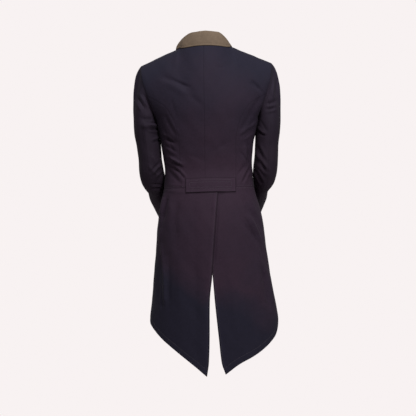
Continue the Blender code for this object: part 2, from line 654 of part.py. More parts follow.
def sleeve_grid(side):
    """Outer and inner points of a whole sleeve: rows down the arm, columns round it."""
    ring = np.concatenate([BEHIND, BELOW[1:], AHEAD[1:]])
    places = armhole(ring)
    start = cloth(side, places[:, 0], places[:, 1])
    facing = outward(cloth, side, places[:, 0], places[:, 1])
    along_ring = unit(np.roll(start, -1, 0) - np.roll(start, 1, 0))
    along_ring[0] = along_ring[-1] = (0, 1, 0)
    from_body = unit(np.cross(along_ring, facing)) * side
    from_body = np.where((from_body[:, :1] * side) > 0, from_body, -from_body)
    turn = follow(
        ring,
        np.array([0, BACK_SEAM_SHARE, 1.0, 2 - FRONT_SEAM_SHARE, 2]),
        np.array([0, HIND_SEAM_TURN, 180, FRONT_SEAM_TURN, 360]),
    )
    join = tube(side, turn, 0 * turn)
    level = np.abs(np.cos(np.radians(turn) / 2))[:, None] ** 1.5 * 0.8
    lead = unit(from_body * np.maximum(level, 0.15) + np.array([0, 0, -1.0]) * (1 - level))
    reach = np.linalg.norm(join - start, axis=-1, keepdims=True)
    down = unit(tube(side, turn, 0 * turn + 0.01) - join)
    last = unit(down + (0, 0, -1.0))
    start = start + lead * SEAM_GAP + facing * SLEEVE_CLEAR * (1 - level)
    t = np.linspace(0, 1, CAP_ROWS + 1)[:, None, None]
    cap = bezier(start, start + lead * reach * CAP_HANDLE[side], join - last * reach * 0.48, join, t)
    along = np.linspace(0, 1, ARM_ROWS + 1)[1:, None]
    arm = tube(side, turn[None, :] + 0 * along, along + 0 * turn[None, :])
    outer = np.concatenate([cap, arm])
    normals = sleeve_normals(side, outer)
    outer = beside_body(side, outer + normals * fold_height(outer, normals, SLEEVE_FOLDS)[..., None])
    return outer, outer - sleeve_normals(side, outer) * WALL


def beside_body(side, points):
    """Sleeve points moved out where they would lie closer to the body than the clearance."""
    heights, left, right, back, front = columns(SECTIONS)
    x, y, z = points[..., 0], points[..., 1], points[..., 2]
    depth = np.where(y > 0, follow(z, heights, back), follow(z, heights, front)) + SLEEVE_CLEAR
    half = follow(z, heights, left if side > 0 else right) + SLEEVE_CLEAR
    reach = half * np.maximum(1 - np.abs(y / depth) ** (2 / OVAL), 0) ** (OVAL / 2)
    moved = np.where(z < CHEST + SLEEVE_NEAR, np.maximum(side * x, reach), side * x)
    return np.stack([side * moved, y, z], -1)


def sleeve_normals(side, grid):
    """Outward directions of a closed sleeve grid, the first column repeated at the end."""
    around = np.roll(grid[:, :-1], -1, 1) - np.roll(grid[:, :-1], 1, 1)
    around = np.concatenate([around, around[:, :1]], 1)
    return unit(np.cross(np.gradient(grid, axis=0), around)) * side


def add_sleeve(side, word):
    """Two-piece sleeve: the top piece over the arm, the under piece between the two seams."""
    outer, inner = sleeve_grid(side)
    hind = len(BEHIND) - 1
    front = hind + len(BELOW) - 1
    under = slice(hind, front + 1)
    over = np.r_[front : outer.shape[1] - 1, 0 : hind + 1]
    for name, kept in (("sleeve_under_", under), ("sleeve_top_", over)):
        grids = outer[:, kept].copy(), inner[:, kept].copy()
        add_wall(name + word, *inset(*grids, SEAM_GAP), "navy_cloth")


def angle_of(side, height, x):
    """Angle at which the section at a height has a distance x from the centre line."""
    heights, left, right = columns(SECTIONS)[:3]
    half = follow(height, heights, left if side > 0 else right)
    return np.sign(x) * np.degrees(np.arcsin((np.abs(x) / half) ** (1 / OVAL)))


def lap_lift(side, x):
    """How far the left tail stands off near the centre, where it lies over the right one."""
    lift = LAYER * soft_step((LAP_FROM - x) / (LAP_FROM - LAP_FULL))
    return lift if side > 0 else 0 * lift


def add_tail(side, word):
    """Tail: waist seam above, centre-back edge, cutaway front edge and slanted hem."""
    rows, count = 20, 13
    down, across = np.linspace(0, 1, rows + 1), np.linspace(0, 1, count + 1)
    heights, distance = columns(TAIL_BACK_EDGE[side])
    height = WAIST + (heights[0] - WAIST) * down
    back = np.stack([angle_of(side, height, follow(height, heights, distance)), height], -1)
    heights, angles = columns(TAIL_FRONT_EDGE[side])
    height = WAIST + (heights[0] - WAIST) * down
    front = np.stack([follow(height, heights, angles), height], -1)
    shares, angles, heights = columns(TAIL_HEM[side])
    hem = np.stack([follow(across, shares, angles), follow(across, shares, heights)], -1)
    hem[0], hem[-1] = back[-1], front[-1]
    waist = back[0] + across[:, None] * (front[0] - back[0])
    places = between(waist, hem, back, front, across, down)
    x = side * body(side, places[..., 0], places[..., 1])[..., 0]
    return panel("tail_" + word, side, places, lap_lift(side, x))


def add_belt():
    """Back belt across the waist seam, clear of the lapped tails below it."""
    height = np.linspace(BELT_BOTTOM, BELT_TOP, 5)
    x = np.linspace(BELT_RIGHT, BELT_LEFT, 15)
    height, x = height[:, None] + 0 * x, x + 0 * height[:, None]
    places = np.stack([angle_of(1, height, x), height], -1)
    settle = soft_step((x - BELT_SETTLE[0]) / (BELT_SETTLE[1] - BELT_SETTLE[0]))
    lift = WALL + BELT_CLEAR + np.minimum(lap_lift(1, x), LAYER * settle)
    return panel("back_belt", 1, places, lift)


def add_button(number, height):
    """Turned button, flat behind with a raised rim in front, on the right front at the centre."""
    radius, depth, rim = BUTTON_RADIUS, BUTTON_THICKNESS, BUTTON_RIM
    profile = (
        (0.0, 0, depth * 0.6),
        (radius - 2 * rim, 0, depth * 0.6),
        (radius - rim, 0, depth),
        (radius - rim / 2, 0, depth),
        (radius, 0, depth * 0.7),
        (radius, 0, depth * 0.35),
        (radius - rim, 0, 0),
        (0.0, 0, 0),
    )
    mesh = bpy.data.meshes.new("front_button_%d" % number)
    mesh.from_pydata(profile, [(i, i + 1) for i in range(len(profile) - 1)], [])
    button = add_object("front_button_%d" % number, mesh, "button_resin")
    turn = button.modifiers.new("turn", "SCREW")
    turn.steps = turn.render_steps = BUTTON_STEPS
    turn.use_merge_vertices = True
    turn.merge_threshold = 0.0001
    facing = outward(cloth, -1, np.array(180.0), np.array(height))
    seat = cloth(-1, np.array(180.0), np.array(height)) + facing * (LAYER + BUTTON_CLEAR)
    button.location = seat
    button.rotation_euler = (np.arctan2(-facing[1], facing[2]), 0, 0)
    return button


def main():
    for old in list(bpy.data.objects):
        bpy.data.objects.remove(old, do_unlink=True)
    garment = bpy.data.collections.new("dressage_tailcoat")
    bpy.context.scene.collection.children.link(garment)
    for side, word in ((1, "left"), (-1, "right")):
        add_back(side, word)
        add_side_body(side, word)
        add_front(side, word)
        add_lapel(side, word)
        add_sleeve(side, word)
        add_tail(side, word)
    add_collar()
    add_belt()
    for number, height in enumerate(BUTTON_HEIGHTS, 1):
        add_button(number, height)


main()
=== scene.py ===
import bpy
import numpy as np
from mathutils import Matrix, Vector


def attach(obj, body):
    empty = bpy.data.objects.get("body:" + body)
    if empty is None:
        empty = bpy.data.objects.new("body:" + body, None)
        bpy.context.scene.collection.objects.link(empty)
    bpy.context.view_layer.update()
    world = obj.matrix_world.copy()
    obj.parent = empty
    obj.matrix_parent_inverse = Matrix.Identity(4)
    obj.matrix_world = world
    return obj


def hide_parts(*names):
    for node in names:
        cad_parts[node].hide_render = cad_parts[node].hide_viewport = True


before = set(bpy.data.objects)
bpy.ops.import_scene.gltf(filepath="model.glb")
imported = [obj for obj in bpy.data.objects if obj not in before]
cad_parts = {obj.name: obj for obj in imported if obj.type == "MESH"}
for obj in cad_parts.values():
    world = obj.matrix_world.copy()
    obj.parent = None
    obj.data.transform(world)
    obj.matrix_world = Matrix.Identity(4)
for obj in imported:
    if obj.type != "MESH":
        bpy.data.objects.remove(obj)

bl_info = {
    "name": "Dressage tailcoat",
    "version": (1, 0, 0),
    "blender": (4, 5, 0),
    "location": "View3D > Sidebar > Tailcoat",
    "description": "Cloth, creases, seams, stitching and buttons of a riding tailcoat, with its stage",
    "category": "Add Mesh",
}

# The coat's own sizes, as in its solids. Cloth: its thickness, the gap at a seam and between two layers
WALL = 0.0016
SEAM_GAP = 0.0005
LAYER_GAP = 0.0007
LAYER = WALL + LAYER_GAP

# Heights of the chest line and the waist seam
CHEST = -0.214
WAIST = -0.434

# Power of the sines in the oval sections: 2 over an exponent of 2.2, a little squarer than an ellipse
OVAL = 2 / 2.2

# Oval sections of the body and the tails:
# height, half width on the left, half width on the right, depth of the back, depth of the front
SECTIONS = (
    (-1.040, 0.2000, 0.2120, 0.128, 0.100),
    (-0.850, 0.1945, 0.2090, 0.129, 0.100),
    (-0.790, 0.1870, 0.2010, 0.129, 0.100),
    (-0.720, 0.1800, 0.1880, 0.129, 0.102),
    (-0.640, 0.1720, 0.1785, 0.129, 0.105),
    (-0.565, 0.1655, 0.1710, 0.127, 0.108),
    (-0.500, 0.1570, 0.1590, 0.118, 0.110),
    (-0.434, 0.1415, 0.1425, 0.100, 0.104),
    (-0.378, 0.1360, 0.1370, 0.086, 0.100),
    (-0.313, 0.1450, 0.1425, 0.094, 0.108),
    (-0.280, 0.1500, 0.1475, 0.101, 0.117),
    (-0.214, 0.1640, 0.1620, 0.112, 0.127),
)

# Neck edge and shoulder seam: y and z of the neck edge at the centre back and the centre front, the side
# neck, then the shoulder tip and the rise of the seam on the left (1) and on the right (-1), and the
# angles from the nearer centre line at which the side neck and the tip lie
NECK_BACK = (0.058, 0.018)
NECK_FRONT = (-0.075, -0.055)
SIDE_NECK = (0.072, 0.004, 0.0115)
SHOULDER_TIP = {1: (0.2050, 0.000, -0.0465), -1: (0.2070, 0.000, -0.0470)}
SHOULDER_BOW = {1: 0.0000, -1: 0.0004}
SIDE_NECK_ANGLE = 30
TIP_ANGLE = 85

# Upper body, from the chest line to the neck and shoulder, as curves with two handles:
# angle from the centre, lower handle up, out and away from the middle, upper handle out, away and down
BACK_DOME = (
    (0, 0.090, 0.000, 0.000, 0.000, 0.035, 0.045),
    (10, 0.090, 0.000, 0.000, 0.010, 0.036, 0.043),
    (30, 0.085, 0.000, 0.003, 0.028, 0.054, 0.016),
    (45, 0.080, 0.004, 0.009, 0.012, 0.058, 0.018),
    (65, 0.070, 0.012, 0.020, 0.010, 0.056, 0.018),
    (78, 0.066, 0.018, 0.030, 0.010, 0.056, 0.016),
    (85, 0.066, 0.018, 0.030, 0.004, 0.050, 0.010),
    (90, 0.066, 0.018, 0.030, 0.004, 0.050, 0.010),
)
FRONT_DOME = (
    (0, 0.060, 0.000, 0.000, 0.000, 0.030, 0.040),
    (10, 0.062, 0.000, 0.000, 0.010, 0.032, 0.038),
    (30, 0.085, 0.000, 0.000, 0.024, 0.058, 0.022),
    (45, 0.080, 0.002, 0.004, 0.010, 0.062, 0.024),
    (65, 0.070, 0.004, 0.008, 0.003, 0.056, 0.020),
    (78, 0.066, 0.006, 0.014, 0.004, 0.050, 0.014),
    (85, 0.066, 0.008, 0.016, 0.004, 0.046, 0.010),
    (90, 0.066, 0.008, 0.016, 0.004, 0.046, 0.010),
)

# Centre-back seam: height, angle towards the wearer's left
CENTRE_SEAM = ((-0.434, 3.5), (-0.214, 2.2), (0.0, 1.0))

# Curved back seam from the waist to the armhole: height, angle
BACK_SEAM = (
    (-0.434, 35.0),
    (-0.350, 36.3),
    (-0.280, 34.3),
    (-0.230, 37.5),
    (-0.210, 41.0),
    (-0.190, 47.0),
    (-0.170, 59.0),
    (-0.145, 77.0),
)

# Armhole from the shoulder tip down to the underarm:
# share of the way, angle and height behind the arm, angle and height in front of it
ARMHOLE = (
    (0.00, 85.0, 0.000, 95.0, 0.000),
    (0.20, 82.0, -0.045, 103.0, -0.045),
    (0.40, 79.0, -0.095, 111.0, -0.095),
    (0.60, 77.0, -0.145, 115.0, -0.144),
    (0.80, 77.0, -0.189, 112.0, -0.187),
    (0.92, 82.0, -0.213, 102.0, -0.212),
    (1.00, 90.0, -0.222, 90.0, -0.222),
)
# Shares of the way at which the curved back seam and the front seam meet the armhole
BACK_SEAM_SHARE = 0.60
FRONT_SEAM_SHARE = 0.80
FRONT_SEAM_ANGLE = 108.0

# Fronts: angle of the edge past the centre, start and depth of the hem's point, roll line from the side
# neck to the top button as share, angle, height, and angles between which a front is lifted
FRONT_EDGE_ANGLE = 187.0
TAIL_START_ANGLE = 142.0
POINT_DROP = 0.044
ROLL_LINE = ((0.00, 150.0, 0.000), (0.30, 156.0, -0.058), (0.62, 166.5, -0.135), (1.00, 187.0, -0.250))
OVERLAP_FROM = 158.0
OVERLAP_FULL = 172.0

# Lapels: share of the roll line where they start and end, outer edge down to its tip as share of the
# lapel, angle, height, and how far past the roll line's angle the edge ends
LAPEL_START = 0.33
LAPEL_END = {1: 0.80, -1: 0.985}
LAPEL_EDGE = {
    1: ((0.00, 130.0, -0.073), (0.35, 137.0, -0.114), (0.70, 152.0, -0.158)),
    -1: ((0.00, 130.0, -0.073), (0.35, 138.0, -0.122), (0.70, 156.0, -0.190)),
}
LAPEL_TURN = -1.2
LAPEL_ROLL = 0.0016
LAPEL_STEP = 0.0035

# Collar from the centre back (0) past the side neck (1) to its front end (2): place along the neck,
# fold line x on the left and right, y, z, then where its free edge lies: angle from the nearer
# centre line on the left and right, distance from the shoulder line (behind it below 0)
COLLAR = (
    (0.00, 0.0000, 0.0000, 0.0605, 0.0500, 0.0, 0.0, -0.023),
    (0.33, 0.0430, 0.0410, 0.0455, 0.0480, 17.0, 13.0, -0.024),
    (0.67, 0.0610, 0.0505, 0.0210, 0.0425, 36.0, 29.0, -0.017),
    (1.00, 0.0670, 0.0490, 0.0030, 0.0380, 44.5, 38.5, 0.000),
    (1.33, 0.0680, 0.0550, -0.0150, 0.0250, 43.0, 40.0, 0.026),
    (1.67, 0.0685, 0.0610, -0.0330, 0.0040, 42.0, 40.0, 0.047),
    (2.00, 0.0640, 0.0620, -0.0500, -0.0180, 40.0, 39.0, 0.064),
)
# Gap between the collar's leaf and the coat (below 0, they touch), height of the seam over the neck edge,
# share of the roll line between collar and lapel, and reach of the curve's handles: share of the leaf's
# height at its edge, then distances at the fold and in the stand
COLLAR_CLEAR = -0.0002
COLLAR_RISE = SEAM_GAP + 0.0006
COLLAR_NOTCH = 0.012
LEAF_HANDLE = 0.4
FOLD_HANDLE = 0.006
STAND_HANDLE = 0.006
COLLAR_STATIONS = 90
COLLAR_ROWS = 40
COLLAR_STEP = 0.003

# Sleeve axis below the cap: x, y, z, half width on the left and right, half depth
SLEEVE = (
    (0.1905, -0.004, -0.262, 0.0390, 0.0378, 0.0606),
    (0.1855, -0.004, -0.300, 0.0380, 0.0374, 0.0596),
    (0.1828, -0.003, -0.340, 0.0368, 0.0372, 0.0576),
    (0.1804, -0.003, -0.370, 0.0380, 0.0380, 0.0550),
    (0.1762, -0.014, -0.398, 0.0386, 0.0372, 0.0500),
    (0.1670, -0.044, -0.424, 0.0304, 0.0276, 0.0460),
    (0.1560, -0.096, -0.460, 0.0342, 0.0320, 0.0446),
    (0.1400, -0.150, -0.500, 0.0340, 0.0328, 0.0430),
    (0.1255, -0.198, -0.540, 0.0330, 0.0320, 0.0420),
)
# Curve of the cap from the armhole to the arm: reach of its first handle on the left and the right, and
# of its last one; how level it starts: power, largest and least share
CAP_HANDLE = {1: 0.16, -1: 0.175}
CAP_END_HANDLE = 0.48
CAP_POWER = 1.5
CAP_LEVEL = 0.8
CAP_LEAST = 0.15
# Distance of the sleeve from the body, height above the chest line up to which it is kept, and how far
# the sleeve's edge is tucked under the armhole edge: back along the sleeve, and inwards
SLEEVE_CLEAR = 0.0005
SLEEVE_NEAR = 0.010
SLEEVE_TUCK = (0.0025, 0.0008)
# Turns of the hind-arm seam and the fore-arm seam round the sleeve
HIND_SEAM_TURN = 82.0
FRONT_SEAM_TURN = 246.0

# Tails: edge at the centre back as height and distance from the centre line, on its own side
TAIL_BACK_EDGE = {
    1: (
        (-1.007, 0.0182), (-0.965, 0.0115),
        (-0.893, 0.0077), (-0.783, 0.0048),
        (-0.700, -0.0046), (-0.565, -0.0166),
        (-0.434, -0.0300),
    ),
    -1: (
        (-1.002, 0.0383), (-0.965, 0.0268),
        (-0.892, 0.0201), (-0.783, 0.0106),
        (-0.700, 0.0052), (-0.565, -0.0050),
        (-0.434, -0.0120),
    ),
}
# Cutaway front edge as height and angle
TAIL_FRONT_EDGE = {
    1: (
        (-0.842, 98.0), (-0.780, 104.0),
        (-0.680, 115.0), (-0.580, 126.0),
        (-0.500, 136.0), (-0.434, 142.0),
    ),
    -1: (
        (-0.835, 92.0), (-0.780, 100.0),
        (-0.680, 114.0), (-0.580, 126.0),
        (-0.500, 136.0), (-0.434, 142.0),
    ),
}
# Hem from the tip at the centre back to the corner at the side: share, angle, height
TAIL_HEM = {
    1: (
        (0.00, 4.2, -1.007), (0.15, 14.0, -0.976),
        (0.35, 32.0, -0.931), (0.55, 51.0, -0.894),
        (0.75, 71.0, -0.862), (0.88, 86.0, -0.850),
        (1.00, 98.0, -0.842),
    ),
    -1: (
        (0.00, 8.8, -1.002), (0.15, 20.0, -0.974),
        (0.35, 38.0, -0.946), (0.55, 56.0, -0.917),
        (0.75, 72.0, -0.891), (0.88, 82.0, -0.868),
        (1.00, 92.0, -0.835),
    ),
}
# The left tail lies over the right one: x where it starts to lift and where the lift is full
LAP_FROM = 0.050
LAP_FULL = 0.018

# Back belt: its ends across, its heights, its distance from the tails, how much more it stands off here,
# and between which places across it settles past the lap
BELT_LEFT = 0.0700
BELT_RIGHT = -0.0810
BELT_TOP = -0.4070
BELT_BOTTOM = -0.4505
BELT_CLEAR = 0.0006
BELT_RISE = 0.0010
BELT_SETTLE = (-0.060, -0.030)
BELT_ROWS = 20
BELT_COLUMNS = 60
BELT_STEP = 0.0025

# Largest folds: 1 seen from the back or -1 from the front, then x and z of the line's start,
# bend and end, and in millimetres half width and height above the cloth (below 0, a trough)
FOLDS = (
    (1, 0.138, -0.089, 0.100, -0.104, 0.047, -0.141, 10, -2.5),
    (1, 0.132, -0.106, 0.095, -0.122, 0.050, -0.157, 12, 1.8),
    (1, -0.134, -0.112, -0.150, -0.118, -0.166, -0.141, 9, -2.5),
    (1, 0.134, -0.283, 0.115, -0.284, 0.096, -0.297, 9, -3.5),
    (1, 0.121, -0.338, 0.100, -0.344, 0.076, -0.362, 8, 3),
    (1, 0.100, -0.378, 0.092, -0.386, 0.079, -0.406, 8, 2.8),
    (1, -0.128, -0.300, -0.112, -0.330, -0.108, -0.380, 10, 2.2),
    (1, 0.139, -0.520, 0.152, -0.545, 0.154, -0.585, 10, 3),
    (1, 0.139, -0.660, 0.141, -0.720, 0.143, -0.800, 12, 3),
    (1, -0.118, -0.530, -0.148, -0.565, -0.160, -0.620, 11, 2.8),
    (1, -0.176, -0.700, -0.186, -0.760, -0.190, -0.815, 11, 3.2),
    (-1, 0.150, -0.150, 0.120, -0.185, 0.080, -0.235, 13, 2.2),
    (-1, -0.150, -0.155, -0.118, -0.190, -0.078, -0.232, 12, 2.2),
    (-1, 0.120, -0.330, 0.080, -0.352, 0.030, -0.385, 9, -2.5),
    (-1, -0.118, -0.342, -0.078, -0.360, -0.034, -0.388, 9, -2.2),
)
SLEEVE_FOLDS = (
    (1, 0.166, -0.238, 0.184, -0.246, 0.206, -0.236, 8, 3.5),
    (1, 0.168, -0.218, 0.186, -0.224, 0.204, -0.214, 8, -3.5),
    (1, 0.150, -0.372, 0.164, -0.352, 0.172, -0.330, 6, 2.8),
    (1, 0.152, -0.395, 0.172, -0.382, 0.184, -0.362, 6, 2.6),
    (1, -0.186, -0.178, -0.200, -0.180, -0.220, -0.166, 6, -3.5),
    (1, -0.150, -0.330, -0.168, -0.362, -0.188, -0.384, 6, 2.8),
    (1, -0.148, -0.360, -0.166, -0.388, -0.190, -0.404, 6, 2.6),
    (-1, 0.150, -0.372, 0.180, -0.368, 0.212, -0.378, 8, -4.5),
    (-1, 0.152, -0.402, 0.178, -0.398, 0.206, -0.408, 8, -4),
    (-1, -0.150, -0.370, -0.182, -0.366, -0.212, -0.376, 8, -4.5),
    (-1, -0.152, -0.400, -0.180, -0.397, -0.206, -0.406, 8, -4),
)

# Front buttons: heights, radius, thickness and distance from the right front
BUTTON_HEIGHTS = (-0.262, -0.322, -0.384)
BUTTON_RADIUS = 0.0100
BUTTON_THICKNESS = 0.0040
BUTTON_CLEAR = 0.0008

# Steps over which a slope is measured: degrees round the body, height, and share of the arm
ANGLE_STEP = 0.4
HEIGHT_STEP = 0.0015
AXIS_STEP = 0.01
# Outward directions: highest place at which they are measured, and the height below the ridge and the
# degrees before the side neck within which front and back are blended
TOP_EDGE = -0.006
RIDGE_BLEND = 0.030
RIDGE_TURN = 8

# Folds: points along a line, reach in half widths, share of the height left at the ends, one over the
# share of the length on which the rest fades, one over the turn to the view at which a fold is full, and
# millimetres in a metre
SAMPLES_ON_A_FOLD = 41
FOLD_REACH = 2.6
FOLD_END = 0.35
FOLD_FADE = 4
FOLD_TURN = 3
MILLIMETRES = 1000

# Creases read off the photograph, in its own points, on the body and on the sleeves: where each
# starts, bends and ends, half width and height above the cloth in millimetres
PICTURE_BODY_CREASES = (
    (170, 78, 180, 84, 190, 88, 4.4, -1.1),
    (168, 76, 178, 80.5, 189, 85, 6, 0.7),
    (172, 81.5, 182, 87.5, 192, 91, 6, 0.6),
    (165, 116, 170, 128, 176, 136, 4.6, -1.5),
    (168, 114, 173, 125, 179, 134, 5, 1),
    (171, 100, 174, 108, 176, 118, 6, -0.9),
    (162.5, 135.5, 168, 140, 173, 143.2, 3.6, -2.9),
    (163, 133.5, 169, 137.5, 174.5, 141.2, 4, 2),
    (164, 139, 169, 142.5, 174, 145.6, 4.2, 1.6),
    (168, 154, 176, 157.5, 182, 162, 3.6, -1.8),
    (169.5, 156.5, 178, 160.8, 182.2, 164.8, 3.2, 2.8),
    (170, 159.5, 176.2, 163, 182, 166.8, 3, -2.7),
    (167.8, 162, 173.2, 165.8, 180, 168.8, 3.2, 1.7),
    (167.2, 164.8, 173, 168.8, 179.2, 171.8, 3.4, -1.4),
    (166.5, 168, 174, 178, 180, 183.2, 4, -1.2),
    (173, 166.2, 180, 173, 184.5, 179, 3.2, -2.8),
    (175.5, 165, 182, 171.2, 186.2, 176.8, 3.6, 2),
    (171, 168, 177, 175, 182, 180.6, 4, 1.5),
    (252, 80, 258, 86, 262.2, 91.2, 4.8, -1),
    (254.5, 79, 260.5, 84.5, 264.5, 90, 5, 0.8),
    (262, 95, 254, 105, 249, 116, 6, -1.5),
    (249, 116, 245, 124, 240.5, 130.5, 6, -1.5),
    (265, 99, 258.5, 108, 253, 118, 5, 1.3),
    (258, 124, 248, 132, 240.8, 136.2, 3.8, -2.3),
    (255.5, 120.5, 247.5, 127.2, 241.2, 133.2, 5, 1.6),
    (255, 130, 248, 136.5, 242, 140, 5, 1.3),
    (248, 140, 248.8, 150, 249.6, 160, 5, -2.3),
    (244, 144, 245, 152, 246, 160, 5.5, 1.6),
    (240, 150, 243, 156, 248, 161, 4, -1.4),
    (248.8, 165, 245, 172, 241.2, 178, 4, 1.9),
    (250.2, 170, 248, 178, 244, 184, 4, 1.7),
    (249.5, 168, 246.2, 175, 242.5, 181.5, 3.2, -1.9),
    (245, 164, 241.2, 170, 238, 175, 3.6, -1.5),
    (216, 67, 220, 67.8, 224, 67.2, 4, -0.8),
    (190, 72, 178, 92, 166, 112, 7, -0.8),
    (163, 128, 168, 141, 174, 152, 3.6, -1.3),
    (166, 147, 171, 151, 177, 154.5, 3.6, 1.6),
    (165, 144.5, 170, 148.5, 176, 151.5, 3.4, -1.6),
    (262, 112, 254, 121, 247, 127, 3.4, -1.5),
    (263, 103, 256, 113, 251, 124, 3.6, -1.3),
    (256, 127.5, 249.5, 133.5, 243.5, 138.5, 3.2, -1.9),
    (252.5, 142, 252, 152, 252.5, 163, 3.6, 1.8),
    (254.5, 136, 253.2, 148, 254, 160, 3.6, -2),
    (246, 172, 243, 178, 239.5, 183, 3.6, 1.3),
    (169, 184.6, 178, 185.4, 185, 186.2, 3.4, 1),
    (166.5, 190.6, 176, 191.6, 186, 192.6, 4, 0.9),
    (164.8, 193, 161.5, 206, 159.2, 222, 3.4, 2.2),
    (162.2, 196, 159.6, 208, 157.8, 222, 3.2, -1.8),
    (166.8, 200, 163.5, 214, 160.5, 232, 3.6, -2.4),
    (163, 218, 160.5, 230, 159.5, 244, 3.8, 2.1),
    (158.6, 250, 160, 266, 163, 284, 4, -2.2),
    (160.8, 246, 162.5, 262, 165.5, 280, 4.2, 2),
    (164.8, 276, 166, 290, 165.2, 304, 4, 2.5),
    (161.5, 282, 162.5, 296, 162, 310, 4, -2.2),
    (244, 218, 250, 226, 256, 240, 4.2, -2.4),
    (246.5, 214, 253, 222, 259, 238, 4, 2.5),
    (250.5, 210, 257, 222, 262, 240, 3.8, -2.2),
    (256, 238, 259.5, 252, 262, 268, 4.4, 2),
    (264, 264, 268.5, 282, 273, 302, 4.2, 2.7),
    (261.5, 268, 266, 286, 270, 306, 4, -2.4),
    (257.5, 272, 258.5, 286, 260, 300, 5, 1.4),
    (212, 196, 211, 210, 210, 224, 4, -0.8),
    (218.8, 196, 216.4, 234, 213.4, 273, 3, -1.1),
    (220.8, 196, 218.6, 234, 215.4, 273, 3.4, 1),
)
PICTURE_SLEEVE_CREASES = (
    (136, 96, 140.8, 103, 145, 109.2, 3.4, -2.5),
    (139.2, 94, 144, 101.2, 148.2, 108.2, 3.8, 2),
    (134.8, 100, 138.4, 106, 142, 112, 4, 1.6),
    (144.2, 95, 149, 105, 155, 116, 3.2, -2.6),
    (144.8, 122, 150, 124, 156.2, 122.2, 3.2, -2.6),
    (147.8, 125.5, 152.2, 126.7, 157.2, 125, 3.4, 3.3),
    (149.8, 129, 154.2, 129.2, 159, 128, 3.2, -2.7),
    (149, 131.5, 153.5, 132.2, 158.5, 131.2, 4, 1.8),
    (152.6, 140.5, 156.2, 138.5, 160.2, 135.8, 3.6, 1.8),
    (153.2, 143, 156.6, 141.2, 160.4, 139, 3.6, -1.6),
    (141, 120, 142, 136, 144, 150, 7, -1),
    (146, 136, 146.5, 148, 149, 160, 7, 1),
    (142, 160, 142, 170, 142, 180, 6, 1.2),
    (159.5, 162, 154.6, 167.2, 151.6, 172.5, 3.2, -2.2),
    (160.2, 165, 155, 170, 152.4, 175, 3.2, 2.9),
    (160.2, 168, 155.6, 173.2, 153.4, 177.2, 3, -2.8),
    (161.2, 171.2, 157.2, 175, 155, 178.4, 3.2, 2.6),
    (162.2, 173, 159, 178, 157, 182.2, 3.2, -3.2),
    (151.2, 184.5, 156, 184.3, 161.2, 184.5, 2.8, -2.4),
    (150.5, 186.4, 155.5, 186.2, 161.2, 186.4, 2.8, 2.1),
    (150, 188.2, 155.5, 188.1, 161.2, 188.2, 2.8, -2),
    (149.8, 190.2, 155, 190, 160.8, 190.2, 3.2, 1.6),
    (275, 74, 274, 85, 271, 100, 4, 1.8),
    (277.2, 80, 276.6, 90, 275, 100, 4, -1.6),
    (272.2, 78, 271.6, 89, 269, 100, 4, -1.4),
    (265.5, 107, 269.5, 106.2, 274, 105, 3.6, 1.5),
    (265.8, 110, 270.2, 109, 275.2, 107.8, 3.2, -2.7),
    (266.8, 113.2, 271.2, 111.6, 276.2, 110.2, 3.6, 2.1),
    (260.5, 121, 263.5, 128, 267, 132, 3.6, -1.7),
    (258, 126, 261, 132, 265, 134.5, 3.2, 2.6),
    (257.8, 130, 260.5, 135, 265, 135.8, 3.2, -2.7),
    (255.2, 148, 258, 156, 261, 164, 3.6, 1.5),
    (256.8, 145, 260, 153, 264, 163, 3.2, -2.8),
    (260, 145, 263.2, 153, 267, 160.2, 3.8, 1.9),
    (258.8, 158, 262, 166, 265, 172.2, 3.2, -2.5),
    (261.2, 156, 264.2, 164, 267.2, 170.2, 3.4, 2.1),
    (254.6, 172.8, 257.8, 179.6, 260.2, 184, 3.2, 1.9),
    (255, 170, 259, 178, 262, 183, 3.2, -3.4),
    (257.2, 168.6, 261.2, 175.8, 264.2, 181.2, 3.4, 2.8),
    (253.8, 175, 256, 180, 257.8, 184, 3, -2.3),
    (271, 140, 270.2, 150, 271, 160, 6, -1.2),
    (275, 145, 274, 155, 274, 165, 6, 1.2),
)
# Size of the photograph in its points, columns of a row that are places, and how far behind the origin
# the creases of the body and of the sleeves lie
PICTURE_SIZE = 416
PICTURE_PLACES = 6
PICTURE_BODY_DEPTH = 0.085
PICTURE_SLEEVE_DEPTH = 0.035

